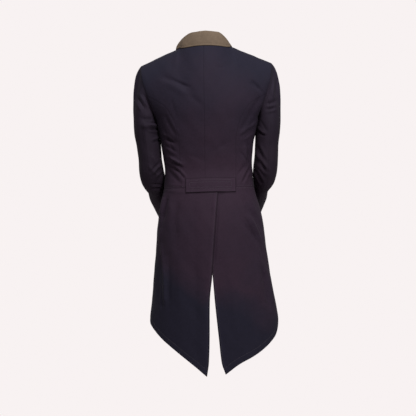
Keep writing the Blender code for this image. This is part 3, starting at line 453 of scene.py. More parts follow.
# Finer creases of the tails, of the middle of the back and of the hidden front, then those of the
# sleeves, written as the largest folds are. A row that starts with 0 is seen from all round.
BODY_CREASES = (
    (0, -0.154, -0.216, -0.150, -0.240, -0.146, -0.268, 14, 2.2),
    (0, -0.139, -0.374, -0.138, -0.388, -0.139, -0.402, 10, 1.6),
    (1, 0.060, -0.150, 0.034, -0.166, 0.012, -0.190, 8, -1),
    (1, -0.060, -0.300, -0.036, -0.312, -0.012, -0.330, 8, -0.8),
    (1, 0.062, -0.330, 0.040, -0.342, 0.014, -0.352, 8, -0.8),
    (1, 0.136, -0.456, 0.148, -0.490, 0.153, -0.520, 5, 3),
    (1, 0.128, -0.462, 0.140, -0.494, 0.146, -0.530, 6, -2.7),
    (1, 0.138, -0.513, 0.146, -0.541, 0.152, -0.570, 5.5, -2.7),
    (1, 0.116, -0.470, 0.124, -0.520, 0.126, -0.580, 9, 1.9),
    (1, 0.100, -0.470, 0.106, -0.530, 0.104, -0.610, 10, -1.6),
    (1, 0.128, -0.640, 0.130, -0.720, 0.131, -0.800, 8, -2.7),
    (1, 0.156, -0.650, 0.160, -0.720, 0.163, -0.790, 8, -2.4),
    (1, 0.092, -0.640, 0.092, -0.760, 0.100, -0.880, 14, 1.6),
    (1, 0.050, -0.620, 0.046, -0.760, 0.050, -0.900, 15, -1.4),
    (1, -0.104, -0.545, -0.132, -0.580, -0.150, -0.624, 6, -3),
    (1, -0.130, -0.512, -0.152, -0.540, -0.162, -0.580, 6, -2.2),
    (1, -0.098, -0.470, -0.108, -0.520, -0.116, -0.560, 8, 1.8),
    (1, -0.118, -0.460, -0.134, -0.490, -0.144, -0.520, 6, 2),
    (1, -0.164, -0.690, -0.174, -0.750, -0.180, -0.812, 7, -3),
    (1, -0.142, -0.640, -0.146, -0.720, -0.150, -0.800, 10, 2.2),
    (1, -0.100, -0.640, -0.104, -0.760, -0.118, -0.890, 14, -1.4),
    (1, -0.060, -0.640, -0.066, -0.780, -0.080, -0.920, 15, 1.4),
    (-1, 0.140, -0.168, 0.112, -0.200, 0.078, -0.248, 7, -1.8),
    (-1, -0.140, -0.172, -0.110, -0.204, -0.074, -0.246, 7, -1.8),
    (-1, 0.146, -0.212, 0.120, -0.232, 0.092, -0.268, 6, 1.4),
    (-1, -0.146, -0.216, -0.122, -0.234, -0.096, -0.266, 6, 1.4),
    (-1, 0.118, -0.348, 0.080, -0.368, 0.034, -0.398, 6, 1.6),
    (-1, -0.116, -0.356, -0.078, -0.374, -0.036, -0.400, 6, 1.5),
    (-1, 0.112, -0.300, 0.076, -0.314, 0.034, -0.330, 6.5, -1.4),
    (-1, -0.110, -0.306, -0.076, -0.318, -0.036, -0.332, 6.5, -1.4),
    (-1, 0.140, -0.470, 0.132, -0.520, 0.120, -0.570, 8, -1.8),
    (-1, -0.142, -0.474, -0.134, -0.524, -0.122, -0.574, 8, -1.8),
    (-1, 0.158, -0.560, 0.150, -0.640, 0.146, -0.720, 10, 2),
    (-1, -0.162, -0.560, -0.156, -0.640, -0.152, -0.720, 10, 2),
)
SLEEVE_CREASES = (
    (0, -0.158, -0.222, -0.153, -0.245, -0.150, -0.270, 12, 1.8),
    (-1, 0.1460, -0.394, 0.1700, -0.382, 0.1980, -0.388, 9, 1.6),
    (-1, 0.1600, -0.352, 0.1820, -0.356, 0.2060, -0.368, 10, 1.3),
    (-1, 0.1480, -0.372, 0.1620, -0.366, 0.1780, -0.368, 7, -1.2),
    (-1, -0.1440, -0.388, -0.1720, -0.384, -0.2000, -0.394, 9, 1.5),
    (-1, -0.1620, -0.358, -0.1800, -0.352, -0.2080, -0.360, 10, 1.4),
    (-1, -0.1640, -0.374, -0.1780, -0.368, -0.1900, -0.372, 7, -1.1),
    (-1, 0.1700, -0.200, 0.1860, -0.212, 0.2080, -0.206, 6.5, -2),
    (-1, 0.1660, -0.232, 0.1860, -0.244, 0.2080, -0.238, 6.5, -1.6),
    (-1, -0.1700, -0.202, -0.1860, -0.214, -0.2080, -0.208, 6.5, -2),
    (-1, -0.1660, -0.236, -0.1860, -0.248, -0.2080, -0.242, 6.5, -1.6),
    (-1, 0.1500, -0.432, 0.1680, -0.444, 0.1860, -0.440, 5, -1.8),
    (-1, -0.1500, -0.432, -0.1680, -0.444, -0.1860, -0.440, 5, -1.8),
)

# Soft unevenness of the cloth, as waves: waves a metre along x, y and z, start of the wave, height
WAVES = (
    (9.0, 4.0, 3.0, 0.3, 0.00035),
    (14.0, -6.0, 5.0, 1.9, 0.00028),
    (-11.0, 9.0, 8.0, 4.1, 0.00026),
    (23.0, 7.0, -9.0, 2.6, 0.00016),
    (-19.0, 13.0, 17.0, 5.2, 0.00014),
    (31.0, -17.0, 12.0, 0.9, 0.00009),
    (-27.0, 25.0, -21.0, 3.7, 0.00008),
)

# How an edge lies: depth that the cloth sinks to at the edge, and over what width
DIPS = {
    "seam": (0.0003, 0.0030),
    "armhole": (0.0003, 0.0050),
    "edge": (0.0005, 0.0014),
    "roll": (0.0, 0.0010),
    "lap": (-0.0007, 0.0060),
}
# How many times its real distance a point counts from a free edge, and from any edge taken as a seam:
# the more, the narrower is the painted shade beside it
FREE_SHADE = {"edge": 1.0, "lap": 0.5}
SEAM_SHADE = {"seam": 2.2, "armhole": 0.45, "edge": 1.5, "roll": 3.0, "lap": 1.5}
# Over this width creases fade out towards an armhole seam
ARMHOLE_CALM = 0.009

# Rows of points near an edge: their distances from it, the gap on both sides of a row of stitches, the
# least gap between the two kinds, the largest share of a column that they take at one end, and lengths
# too small to count
ROWS_BY_AN_EDGE = (0.0, 0.0007, 0.0018, 0.0036)
ROWS_BY_A_STITCH = 0.0014
LEAST_APART = 0.0005
LARGEST_END = 0.4
LEAST_RUN = 1e-9
CLOSE = 0.0001

# Trough that a row of stitches pulls in: depth and half width
STITCH_DIP = 0.0004
STITCH_SPREAD = 0.0009

# Distance of the stitching from the edges
EDGE_STITCH = 0.0055
UPPER_WAIST_STITCH = 0.0036
LOWER_WAIST_STITCH = 0.0042
HEM_STITCH = 0.0190
CUFF_STITCH = 0.0180
BELT_TOP_STITCH = (0.0065, 0.0135)
BELT_BOTTOM_STITCH = (0.0097, 0.0157)
BELT_END_STITCH = 0.0140

# Row of stitches that closes the top of the vent under the belt: its two ends across and its height
VENT_BAR = (-0.0443, 0.0031, -0.4536)

# Edges of each piece: the two ends of its rows and the two ends of its columns
EDGES = {
    "back": (("seam", (UPPER_WAIST_STITCH,)), ("seam", ()), ("seam", ()), ("seam", ())),
    "side_body": (("seam", (UPPER_WAIST_STITCH,)), ("armhole", ()), ("seam", ()), ("seam", ())),
    "front": (("seam", (UPPER_WAIST_STITCH,)), ("seam", ()), ("seam", ()), ("edge", (EDGE_STITCH,))),
    "lapel": (("edge", (EDGE_STITCH,)), ("edge", ()), ("roll", ()), ("edge", (EDGE_STITCH,))),
    "collar": (("edge", (EDGE_STITCH,)), ("seam", ()), ("edge", (EDGE_STITCH,)), ("edge", (EDGE_STITCH,))),
    "sleeve": (("armhole", ()), ("edge", (CUFF_STITCH,)), ("seam", ()), ("seam", ())),
    "tail": (
        ("seam", (LOWER_WAIST_STITCH,)),
        ("edge", (HEM_STITCH,)),
        ("lap", (EDGE_STITCH,)),
        ("edge", (EDGE_STITCH,)),
    ),
    "belt": (
        ("edge", BELT_BOTTOM_STITCH),
        ("edge", BELT_TOP_STITCH),
        ("edge", (BELT_END_STITCH,)),
        ("edge", (BELT_END_STITCH,)),
    ),
}

# One stitch along its length: share of the half length, share of the radius; how high its middle stands
# and how far its line drops to its ends, as shares of the radius
STITCH_RINGS = ((-0.92, 0.55), (-0.60, 0.92), (0.0, 1.0), (0.60, 0.92), (0.92, 0.55))
STITCH_SIDES = 5
STITCH_LIFT = 0.55
STITCH_DROP = 0.90

# Degrees between two faces from which on their edge is sharp
CREASE_ANGLE = 38.0

# The wearer's two sides as signs of x, and their words in the names of the pieces
SIDES = ((1, "left"), (-1, "right"))

# Finishes: material of the cloth, material of the thread, slot of the cloth
COAT_FINISH = ("coat_cloth", "coat_thread", "body_cloth")
# The sleeves' material is a lit and shaded copy of the coat's: painted light above, painted shade below
SLEEVE_FINISH = ("sleeve_cloth_painted_light", "coat_thread", "body_cloth")
COLLAR_FINISH = ("contrast_cloth", "collar_thread", "collar_cloth")

# Fineness of the grids before they are respaced, and share of their rows below the turn from one line
# to the next: outer edge of the back, outer edge of the front, inner edge of the front
BASE_ROWS = 170
BASE_COLUMNS = 80
SLEEVE_COLUMNS = 40
CAP_BASE_ROWS = 40
ARM_BASE_ROWS = 120
BACK_TURN = 9 / 16
FRONT_TURN = 9 / 17
ROLL_TURN = 8 / 17
SLEEVE_FINER = 0.85
RING_STEP = 0.09

# Button profile: share of the radius, share of the thickness
BUTTON_PROFILE = (
    (0.30, 0.60),
    (0.62, 0.60),
    (0.68, 0.62),
    (0.78, 0.90),
    (0.84, 1.00),
    (0.92, 1.00),
    (0.98, 0.90),
    (1.00, 0.70),
    (1.00, 0.38),
    (0.97, 0.18),
    (0.84, 0.02),
    (0.40, 0.00),
)
BUTTON_SIDES = 48

# Places of a colour mix's two inputs and of its output among the sockets of a mix node
MIX_INPUTS = (6, 7)
MIX_OUTPUT = 2

# Sockets of the woven cloth group
CLOTH_SOCKETS = (
    ("Plum", "INPUT", "NodeSocketColor"),
    ("Navy", "INPUT", "NodeSocketColor"),
    ("Lining", "INPUT", "NodeSocketColor"),
    ("Twill Pitch", "INPUT", "NodeSocketFloat"),
    ("Low Painted Shade", "INPUT", "NodeSocketFloat"),
    ("Color", "OUTPUT", "NodeSocketColor"),
    ("Roughness", "OUTPUT", "NodeSocketFloat"),
    ("Height", "OUTPUT", "NodeSocketFloat"),
)

# Noises of the cloth: scale and detail
PATCHES = (7.0, 3.0)
MOTTLE = (140.0, 2.0)
FIBRE = (1500.0, 2.0)

# Weave: slope of the crossing waves and their share beside the slanted ones
CROSSED_SLOPE = 2.0
CROSSED_SHARE = 0.35

# Where the cloth looks plum (a painted light cast, in part the cloth's own changeant tone): how the place is
# scaled and moved so that its distance from the waist counts, the lowest place that counts, share of the
# patches, and where the change to navy starts and ends
PLUM_SPREAD = (4.2, 2.0, 3.4)
PLUM_SHIFT = (0.08, 0.0, 1.45)
PLUM_LOWEST = (-9.0, -9.0, -0.50)
PLUM_PATCHES = 0.9
PLUM_CHANGE = (0.35, 1.45)

# The change to navy on the tails, darker lower down, part of the same painted light cast: its slanted
# direction, where it starts and ends along it, and how far the patches move it
TAIL_SLANT = (-0.50, 0.70, 1.0)
TAIL_NAVY = (-0.625, -0.730)
TAIL_PATCHES = 0.22

# Painted shade on the sleeves: how much darker they are lower down, below the light from above, and the
# heights between which they change
SLEEVE_PAINTED_SHADE = 0.66
PAINTED_SHADE_HEIGHTS = (-0.250, -0.090)

# Ranges of a noise and of the weave that count, and the shades that they give
NOISE_RANGE = (0.3, 0.7)
WEAVE_RANGE = (-1.3, 1.3)
MOTTLE_SHADE = (0.92, 1.08)
FIBRE_SHADE = (0.93, 1.07)
WEAVE_SHADE = (0.93, 1.06)

# Seams: distances over which their painted shade line fades, and how dark it is. Free edges: the same for
# the painted shadow along them, then where the lighter band beside them starts and ends, and how much
# lighter it is
SEAM_FADE = (0.0002, 0.0024)
SEAM_PAINTED_SHADE = (0.28, 0.5)
EDGE_FADE = (0.0004, 0.0018)
EDGE_PAINTED_SHADOW = 0.5
BAND_START = (0.0016, 0.0030)
BAND_END = (0.0040, 0.0070)
BAND_LIGHT = 0.12

# Roughness of the cloth and how much smoother the lining is, then shares of weave, fibre and mottle in
# the bump, its depth and strength, and the plain values of the cloth's shader
CLOTH_ROUGHNESS = (0.66, 0.82)
INSIDE_SMOOTHER = 0.22
WEAVE_BUMP = 0.35
FIBRE_BUMP = 0.8
MOTTLE_BUMP = 1.1
CLOTH_BUMP_DEPTH = 0.00012
CLOTH_BUMP = 0.8
SHEEN_ROUGHNESS = 0.45
CLOTH_SPECULAR = 0.12

# Distance from wale to wale and sheen of the coat's cloth and of the collar's, and the collar's three
# tones as shares of its colour
COAT_TWILL = 0.0016
COAT_SHEEN = 0.02
COLLAR_TWILL = 0.0018
COLLAR_SHEEN = 0.03
COLLAR_TONES = (1.0, 0.9, 0.8)

# Grained materials: detail of the grain, range over which its colours change, spread of the roughness,
# depth of the bump at scale 1, and its strength
GRAIN_DETAIL = 3.0
GRAIN_CHANGE = (0.35, 0.65)
GRAIN_ROUGHNESS = 0.06
GRAIN_DEPTH = 0.1
GRAIN_BUMP = 0.3

# Scale and roughness of each grain, and the second tone against the first
THREAD_GRAIN = (900.0, 0.55)
THREAD_SECOND = 0.75
COLLAR_THREAD_TONES = (1.5, 1.2)
BUTTON_GRAIN = (160.0, 0.34)
BUTTON_SECOND = 1.6
FLOOR_GRAIN = (3.0, 0.8)
FLOOR_TONES = ((0.80, 0.77, 0.77), (0.84, 0.81, 0.81))

# Stage: what the lights face, name, place and size of each, the floor with the shares of its radius
# between which it fades out, and the camera
MIDDLE = (0.0, 0.0, -0.48)
SOFTBOXES = (
    ("key_light", (-1.3, 2.0, 0.75), 0.5),
    ("top_light", (0.1, 0.9, 1.6), 0.8),
    ("front_light", (0.3, -2.3, 0.5), 1.2),
)
FLOOR_SIDES = 96
FLOOR_FADE = (0.35, 0.98)
LEVEL = (1.0, 1.0, 0.0)
CAMERA_PLACE = (0.0038, 3.0, -0.498)
CAMERA_LENS = 82.4
CAMERA_SENSOR = 36.0
CAMERA_ROLL = -0.02269


def columns(rows):
    """The columns of a table as arrays."""
    return np.array(rows, float).T


def unit(vectors):
    """The same directions at length one."""
    return vectors / np.linalg.norm(vectors, axis=-1, keepdims=True)


def soft_step(share):
    """0 up to share 0, 1 from share 1 on, and an even slope between."""
    share = np.clip(share, 0, 1)
    return share * share * (3 - 2 * share)


def follow(x, xs, ys, flat_ends=False):
    """Smooth curve through a table: cubic pieces whose slopes never overshoot the rows."""
    step = np.diff(xs)
    rise = np.diff(ys) / step
    product = rise[1:] * rise[:-1]
    total = rise[1:] + rise[:-1]
    slope = np.zeros(len(ys))
    slope[1:-1] = np.where(product > 0, 2 * product / np.where(product > 0, total, 1), 0)
    if not flat_ends:
        slope[0], slope[-1] = rise[0], rise[-1]
    x = np.clip(x, xs[0], xs[-1])
    k = np.clip(np.searchsorted(xs, x) - 1, 0, len(step) - 1)
    t = (x - xs[k]) / step[k]
    ends = ys[k] * (1 + 2 * t) * (1 - t) ** 2 + ys[k + 1] * t * t * (3 - 2 * t)
    return ends + step[k] * (slope[k] * t * (1 - t) ** 2 - slope[k + 1] * t * t * (1 - t))


def bezier(p0, p1, p2, p3, t):
    """Point at share t of the curve from p0 to p3 with handles p1 and p2."""
    return (1 - t) ** 3 * p0 + 3 * (1 - t) ** 2 * t * p1 + 3 * (1 - t) * t * t * p2 + t**3 * p3


def section(side, angle, height):
    """Point of the oval section at a height, at or below the chest line: half width times the sine of the
    angle and depth times its cosine, both to the power of the oval."""
    heights, left, right, back, front = columns(SECTIONS)
    half = np.where(side > 0, follow(height, heights, left), follow(height, heights, right))
    turn = np.radians(angle)
    behind = np.cos(turn) > 0
    depth = np.where(behind, follow(height, heights, back), -follow(height, heights, front))
    x = side * half * np.abs(np.sin(turn)) ** OVAL
    y = depth * np.abs(np.cos(turn)) ** OVAL
    return np.stack([x, y, height + 0 * x], -1)


def ridge(side, angle):
    """Neck edge from the centre to the side neck, a quarter of an ellipse, then the shoulder seam out to
    its tip, a straight line with a sine bow."""
    behind = angle <= 90
    turn = np.where(behind, angle, 180 - angle)
    bend = np.pi / 2 * np.sin(np.pi / 2 * np.minimum(turn / SIDE_NECK_ANGLE, 1))
    along = np.clip((turn - SIDE_NECK_ANGLE) / (TIP_ANGLE - SIDE_NECK_ANGLE), 0, 1)
    out = (1 - np.cos(np.pi * along)) / 2
    neck_y = np.where(behind, NECK_BACK[0], NECK_FRONT[0])
    neck_z = np.where(behind, NECK_BACK[1], NECK_FRONT[1])
    tip = np.where((side > 0)[..., None], SHOULDER_TIP[1], SHOULDER_TIP[-1])
    bow = np.where(side > 0, SHOULDER_BOW[1], SHOULDER_BOW[-1])
    x = SIDE_NECK[0] * np.sin(bend)
    y = SIDE_NECK[1] + (neck_y - SIDE_NECK[1]) * np.cos(bend)
    z = SIDE_NECK[2] + (neck_z - SIDE_NECK[2]) * np.cos(bend) + bow * np.sin(np.pi * out)
    points = np.stack([x, y, z], -1) + (tip - SIDE_NECK) * out[..., None]
    return points * np.stack([side, 1 + 0 * side, 1 + 0 * side], -1)


def dome(side, angle, share):
    """Point above the chest line: a cubic curve that goes on from the slope of the chest section and
    ends on the ridge, with its handles from the two tables."""
    behind = angle <= 90
    turn = np.where(behind, angle, 180 - angle)
    back, front = columns(BACK_DOME), columns(FRONT_DOME)
    rise, low_out, low_away, out, away, down = (
        np.where(behind, follow(turn, back[0], b, True), follow(turn, front[0], f, True))
        for b, f in zip(back[1:], front[1:])
    )
    ahead = np.where(behind, 1, -1)
    base = section(side, angle, CHEST)
    lean = (base - section(side, angle, CHEST - HEIGHT_STEP)) / HEIGHT_STEP
    top = ridge(side, angle)
    lower = base + lean * rise[..., None] + np.stack([side * low_out, ahead * low_away, 0 * rise], -1)
    upper = top + np.stack([side * out, ahead * away, -down], -1)
    return bezier(base, lower, upper, top, share[..., None])


def body(side, angle, height):
    """Point of the body's cloth before folds: the section below the chest line and the dome above it. An
    angle past a centre line crosses to the other side."""
    side, angle, height = np.broadcast_arrays(np.array(side, float), angle, height)
    side = np.where((angle < 0) | (angle > 180), -side, side)
    angle = np.where(angle > 180, 360 - angle, np.abs(angle))
    share = np.maximum(height - CHEST, 0) / -CHEST
    low = section(side, angle, np.minimum(height, CHEST))
    return np.where((height > CHEST)[..., None], dome(side, angle, share), low)


def outward(surface, side, angle, height):
    """Outward direction of a surface. Near the ridge that of the place across it is added, so that front
    and back share one where they meet on the shoulder."""
    height = np.minimum(height, TOP_EDGE)
    facing = steepest(surface, side, angle, height)
    turn = np.minimum(angle, 180 - angle)
    share = soft_step(1 + height / RIDGE_BLEND) * soft_step((turn - SIDE_NECK_ANGLE) / RIDGE_TURN + 1)
    return unit(facing + share[..., None] * steepest(surface, side, 180 - angle, height))


def steepest(surface, side, angle, height):
    """Direction square to a surface at a place, from its differences round and up."""
    across = surface(side, angle + ANGLE_STEP, height) - surface(side, angle - ANGLE_STEP, height)
    up = surface(side, angle, height + HEIGHT_STEP) - surface(side, angle, height - HEIGHT_STEP)
    return unit(np.cross(up, across)) * side


def fold_height(points, facing, folds):
    """Height of the folds at the points: a bell curve of the distance from each fold's bent line, lower
    towards the line's ends."""
    places, turned = points.reshape(-1, 3)[:, ::2], facing.reshape(-1, 3)[:, 1]
    total = np.zeros(len(places))
    t = np.linspace(0, 1, SAMPLES_ON_A_FOLD)[:, None]
    for view, x0, z0, x1, z1, x2, z2, width, height in folds:
        start, bend, end = np.array([x0, z0]), np.array([x1, z1]), np.array([x2, z2])
        width, height = width / MILLIMETRES, height / MILLIMETRES
        line = (1 - t) ** 2 * start + 2 * (1 - t) * t * bend + t * t * end
        low, high = line.min(0) - FOLD_REACH * width, line.max(0) + FOLD_REACH * width
        close = np.flatnonzero(((places > low) & (places < high)).all(1))
        if not len(close):
            continue
        apart = np.linalg.norm(places[close, None] - line, axis=-1)
        nearest = apart.argmin(-1) / (SAMPLES_ON_A_FOLD - 1)
        seen = soft_step(FOLD_TURN * view * turned[close]) if view else 1.0
        taper = soft_step(FOLD_FADE * nearest) * soft_step(FOLD_FADE * (1 - nearest))
        bell = np.exp(-((apart.min(-1) / width) ** 2))
        total[close] += height * bell * seen * (FOLD_END + (1 - FOLD_END) * taper)
    return total.reshape(points.shape[:-1])


def from_picture(rows, depth):
    """Crease rows from readings in the photograph's points: turned back by the camera's roll, scaled to
    the cloth's depth and measured from the camera's place."""
    rows = np.array(rows)
    turn = -CAMERA_ROLL
    across, down = (rows[:, first:PICTURE_PLACES:2] - PICTURE_SIZE / 2 for first in (0, 1))
    scale = CAMERA_SENSOR / CAMERA_LENS / PICTURE_SIZE * (CAMERA_PLACE[1] - depth)
    x = CAMERA_PLACE[0] - (across * np.cos(turn) - down * np.sin(turn)) * scale
    z = CAMERA_PLACE[2] - (across * np.sin(turn) + down * np.cos(turn)) * scale
    places = np.stack([x, z], -1).reshape(-1, PICTURE_PLACES)
    return tuple((1, *place, *size) for place, size in zip(places, rows[:, PICTURE_PLACES:]))


def body_creases():
    """All folds and creases of the body and the tails."""
    return FOLDS + BODY_CREASES + from_picture(PICTURE_BODY_CREASES, PICTURE_BODY_DEPTH)


def sleeve_creases():
    """All folds and creases of the sleeves."""
    return SLEEVE_FOLDS + SLEEVE_CREASES + from_picture(PICTURE_SLEEVE_CREASES, PICTURE_SLEEVE_DEPTH)


def between(bottom, top, left, right, across, up):
    """Grid of places between four edges, each blended with the one opposite."""
    u, v = across[None, :, None], up[:, None, None]
    sides = (1 - u) * left[:, None] + u * right[:, None]
    ends = (1 - v) * bottom[None] + v * top[None]
    corners = (1 - v) * ((1 - u) * bottom[0] + u * bottom[-1]) + v * ((1 - u) * top[0] + u * top[-1])
    return sides + ends - corners


def armhole(share):
    """Place on the armhole, on smooth curves through its table: 0 at the shoulder tip, down behind to 1
    at the underarm, up in front to 2."""
    shares, back_angle, back_height, front_angle, front_height = columns(ARMHOLE)
    down = np.where(share <= 1, share, 2 - share)
    angle = np.where(share <= 1, follow(down, shares, back_angle), follow(down, shares, front_angle))
    height = np.where(share <= 1, follow(down, shares, back_height), follow(down, shares, front_height))
    return np.stack([angle, height], -1)


def run_lengths(points):
    """Length along the first axis from its start to each row."""
    step = np.linalg.norm(np.diff(points, axis=0), axis=-1)
    return np.concatenate([0 * step[:1], np.cumsum(step, axis=0)])


def near(edge):
    """Distances from an edge at which a row of points lies: close to it, and by each row of stitches."""
    rows = edge[1]
    reach = (rows[0] if rows else 1.0) - ROWS_BY_A_STITCH - LEAST_APART
    close = [d for d in ROWS_BY_AN_EDGE if d < reach]
    beside = [row + shift for row in rows for shift in (-ROWS_BY_A_STITCH, 0.0, ROWS_BY_A_STITCH)]
    return np.array(close + beside)


def respace(grid, start, end, step):
    """The same surface with rows at the given distances from both ends and even steps between.
    Each column is followed along its own length; a new point lies between its two old neighbours."""
    run = run_lengths(grid[..., :3])
    total = run[-1]
    start = start[:, None] * np.minimum(1, LARGEST_END * total / start[-1])
    end = end[:, None] * np.minimum(1, LARGEST_END * total / end[-1])
    share = np.linspace(0, 1, max(int(total.mean() / step), 4) + 1)[:, None]
    middle = start[-1] + share * (total - start[-1] - end[-1])
    at = np.concatenate([start[:-1], middle, (total - end[:-1])[::-1]])
    k = np.clip((run[None] <= at[:, None]).sum(1) - 1, 0, len(run) - 2)
    low, high = np.take_along_axis(run, k, 0), np.take_along_axis(run, k + 1, 0)
    t = ((at - low) / np.maximum(high - low, LEAST_RUN))[..., None]
    before, after = (np.take_along_axis(grid, (k + i)[..., None], 0) for i in (0, 1))
    return before * (1 - t) + after * t


def distances(points):
    """Distances of each point from the two ends of its column and the two ends of its row, along them."""
    down = run_lengths(points)
    along = run_lengths(points.transpose(1, 0, 2)).T
    return down, down[-1] - down, along, along[:, -1:] - along


def relief(distance, edge):
    """Depth of the cloth near an edge: sunk at the edge itself and along its rows of stitches."""
    kind, rows = edge
    depth, width = DIPS[kind]
    sunk = depth * (1 - soft_step(distance / width))
    for row in rows:
        sunk = sunk + STITCH_DIP * np.exp(-(((distance - row) / STITCH_SPREAD) ** 2))
    return sunk


def ripple(points):
    """Soft unevenness of the cloth: a sum of slanted sine waves in x, y and z."""
    total = np.zeros(points.shape[:-1])
    for *waves, start, height in WAVES:
        total += height * np.sin(2 * np.pi * (points @ np.array(waves)) + start)
    return total


def need_piece(name):
    """Raises an error where the frame lacks the solid of a name."""
    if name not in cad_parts:
        raise RuntimeError("the frame has no piece named " + name)


def closed_wall(outer, inner):
    """Points and four-cornered faces of a wall: an outer grid, an inner grid and a rim between them."""
    rows, count = outer.shape[:2]
    size = rows * count
    index = np.arange(size).reshape(rows, count)
    sheet = np.stack([index[:-1, :-1], index[:-1, 1:], index[1:, 1:], index[1:, :-1]], -1).reshape(-1, 4)
    loop = np.concatenate([index[0, :-1], index[:-1, -1], index[-1, :0:-1], index[:0:-1, 0]])
    after = np.roll(loop, -1)
    rim = np.stack([loop, loop + size, after + size, after], -1)
    faces = np.concatenate([sheet, sheet[:, ::-1] + size, rim])
    points = np.concatenate([outer.reshape(-1, 3), inner.reshape(-1, 3)])
    a, b, c, d = (points[faces[:, i]] for i in range(4))
    volume = np.einsum("ij,ij->", a, np.cross(b, c)) + np.einsum("ij,ij->", a, np.cross(c, d))
    return points, faces if volume > 0 else faces[:, ::-1]


def new_mesh(name, points, *faces):
    """A smooth mesh from its points and from arrays of faces, one array for each number of corners."""
    corners = np.concatenate([some.ravel() for some in faces])
    counts = np.concatenate([np.full(len(some), some.shape[1]) for some in faces])
    mesh = bpy.data.meshes.new(name)
    mesh.vertices.add(len(points))
    mesh.vertices.foreach_set("co", points.ravel())
    mesh.loops.add(len(corners))
    mesh.loops.foreach_set("vertex_index", corners)
    mesh.polygons.add(len(counts))
    mesh.polygons.foreach_set("loop_start", np.cumsum(counts) - counts)
    mesh.update(calc_edges=True)
    mesh.shade_smooth()
    return mesh


def add_piece(name, mesh, material):
    """A named piece of a mesh and a material, that rides on the coat."""
    mesh.materials.append(bpy.data.materials[material])
    piece = bpy.data.objects.new(name, mesh)
    bpy.context.scene.collection.objects.link(piece)
    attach(piece, "root")
    return piece


def keep_values(mesh, faces, values, places):
    """Keeps named values and flat places at a mesh's points, and sharpens its folded edges."""
    for word, numbers in values.items():
        mesh.attributes.new(word, "FLOAT", "POINT").data.foreach_set("value", numbers)
    layer = mesh.uv_layers.new(name="cut")
    layer.uv.foreach_set("vector", places[faces.ravel()].ravel())
    mesh.set_sharp_from_angle(angle=np.radians(CREASE_ANGLE))


def stitch_rows(points, facing, edges):
    """The rows of points on which stitches lie, with their outward directions. Each row keeps clear of
    the ends of the sheet, and at a corner it stops where it meets the other edge's row."""
    apart = distances(points)
    found = []
    for number, edge in enumerate(edges):
        rows = near(edge)
        for row in edge[1]:
            k = int(np.argmin(np.abs(rows - row)))
            at = (k, -1 - k)[number % 2]
            cut = (at, slice(None)) if number < 2 else (slice(None), at)
            others = (2, 3) if number < 2 else (0, 1)
            clear = np.ones(points[cut].shape[0], bool)
            for other in others:
                limit = edges[other][1][-1] if edges[other][1] else ROWS_BY_A_STITCH
                clear &= apart[other][cut] >= limit - CLOSE
            if clear.sum() > 2:
                found.append((points[cut][clear], facing[cut][clear]))
    return found


def level_row(points, facing, low, high, height):
    """Points where columns that run down a sheet cross a height, between two distances from the middle."""
    above = points[..., 2] > height
    k, column = above.sum(0) - 1, np.arange(points.shape[1])
    first, second = points[k, column], points[k + 1, column]
    row = first + (second - first) * ((first[:, 2:] - height) / (first[:, 2:] - second[:, 2:]))
    kept = (row[:, 0] > low) & (row[:, 0] < high)
    return row[kept], facing[k, column][kept]


def stitch_places(rows, sizes):
    """Middle, half length ahead and outward direction of each stitch. Their number along a row is its
    length over the pitch, and they are evenly spaced."""
    centres, ahead, up = [], [], []
    half = sizes.stitch_length / 2
    for points, facing in rows:
        run = run_lengths(points)
        count = int(run[-1] / sizes.stitch_pitch)
        if count < 1:
            continue
        at = (np.arange(count) + 0.5) * run[-1] / count
        first, last, out = (
            np.stack([np.interp(place, run, values[:, i]) for i in range(3)], -1)
            for place, values in ((at - half, points), (at + half, points), (at, facing))
        )
        centres.append((first + last) / 2)
        ahead.append((last - first) / 2)
        up.append(out)
    return (np.concatenate(values) for values in (centres, ahead, up))


def stitching(name, rows, sizes, thread):
    """Rows of raised stitches, each a small capsule that dives into the cloth at its ends: rings round a
    line that drops with the square of the way from its middle, closed by a point at each end."""
    centres, ahead, up = stitch_places(rows, sizes)
    up = unit(up - unit(ahead) * (up * unit(ahead)).sum(-1, keepdims=True))
    wide = np.cross(unit(ahead), up)
    share, radius = columns(STITCH_RINGS)
    turn = np.arange(STITCH_SIDES) * 2 * np.pi / STITCH_SIDES
    lift = sizes.stitch_radius * (STITCH_LIFT - STITCH_DROP * share**2)
    high = lift[:, None] + sizes.stitch_radius * radius[:, None] * np.cos(turn)
    aside = sizes.stitch_radius * radius[:, None] * np.sin(turn)
    rings = (
        centres[:, None, None]
        + ahead[:, None, None] * share[None, :, None, None]
        + up[:, None, None] * high[None, ..., None]
        + wide[:, None, None] * aside[None, ..., None]
    )
    dive = up * sizes.stitch_radius * (STITCH_LIFT - STITCH_DROP)
    ends = np.stack([centres - ahead + dive, centres + ahead + dive], 1)
    each = len(share) * STITCH_SIDES + 2
    points = np.concatenate([rings.reshape(len(centres), -1, 3), ends], 1).reshape(-1, 3)
    ring = np.arange(len(share) * STITCH_SIDES).reshape(len(share), STITCH_SIDES)
    beside = np.roll(ring, -1, 1)
    sides = np.stack([ring[:-1], beside[:-1], beside[1:], ring[1:]], -1).reshape(-1, 4)
    first = np.stack([beside[0], ring[0], 0 * ring[0] + each - 2], -1)
    last = np.stack([ring[-1], beside[-1], 0 * ring[-1] + each - 1], -1)
    start = np.arange(len(centres))[:, None, None] * each
    quads = (sides[None] + start).reshape(-1, 4)
    caps = (np.concatenate([first, last])[None] + start).reshape(-1, 3)
    return add_piece(name, new_mesh(name, points, quads, caps), thread)


def cloth_height(points, facing, apart, edges, folds, strength):
    """Height of the cloth over its plain surface: folds and ripple, faded out towards an armhole, less
    the relief of the four edges."""
    height = fold_height(points, facing, folds) * strength + ripple(points)
    for distance, edge in zip(apart, edges):
        if edge[0] == "armhole":
            height = height * soft_step(distance / ARMHOLE_CALM)
    for distance, edge in zip(apart, edges):
        height = height - relief(distance, edge)
    return height


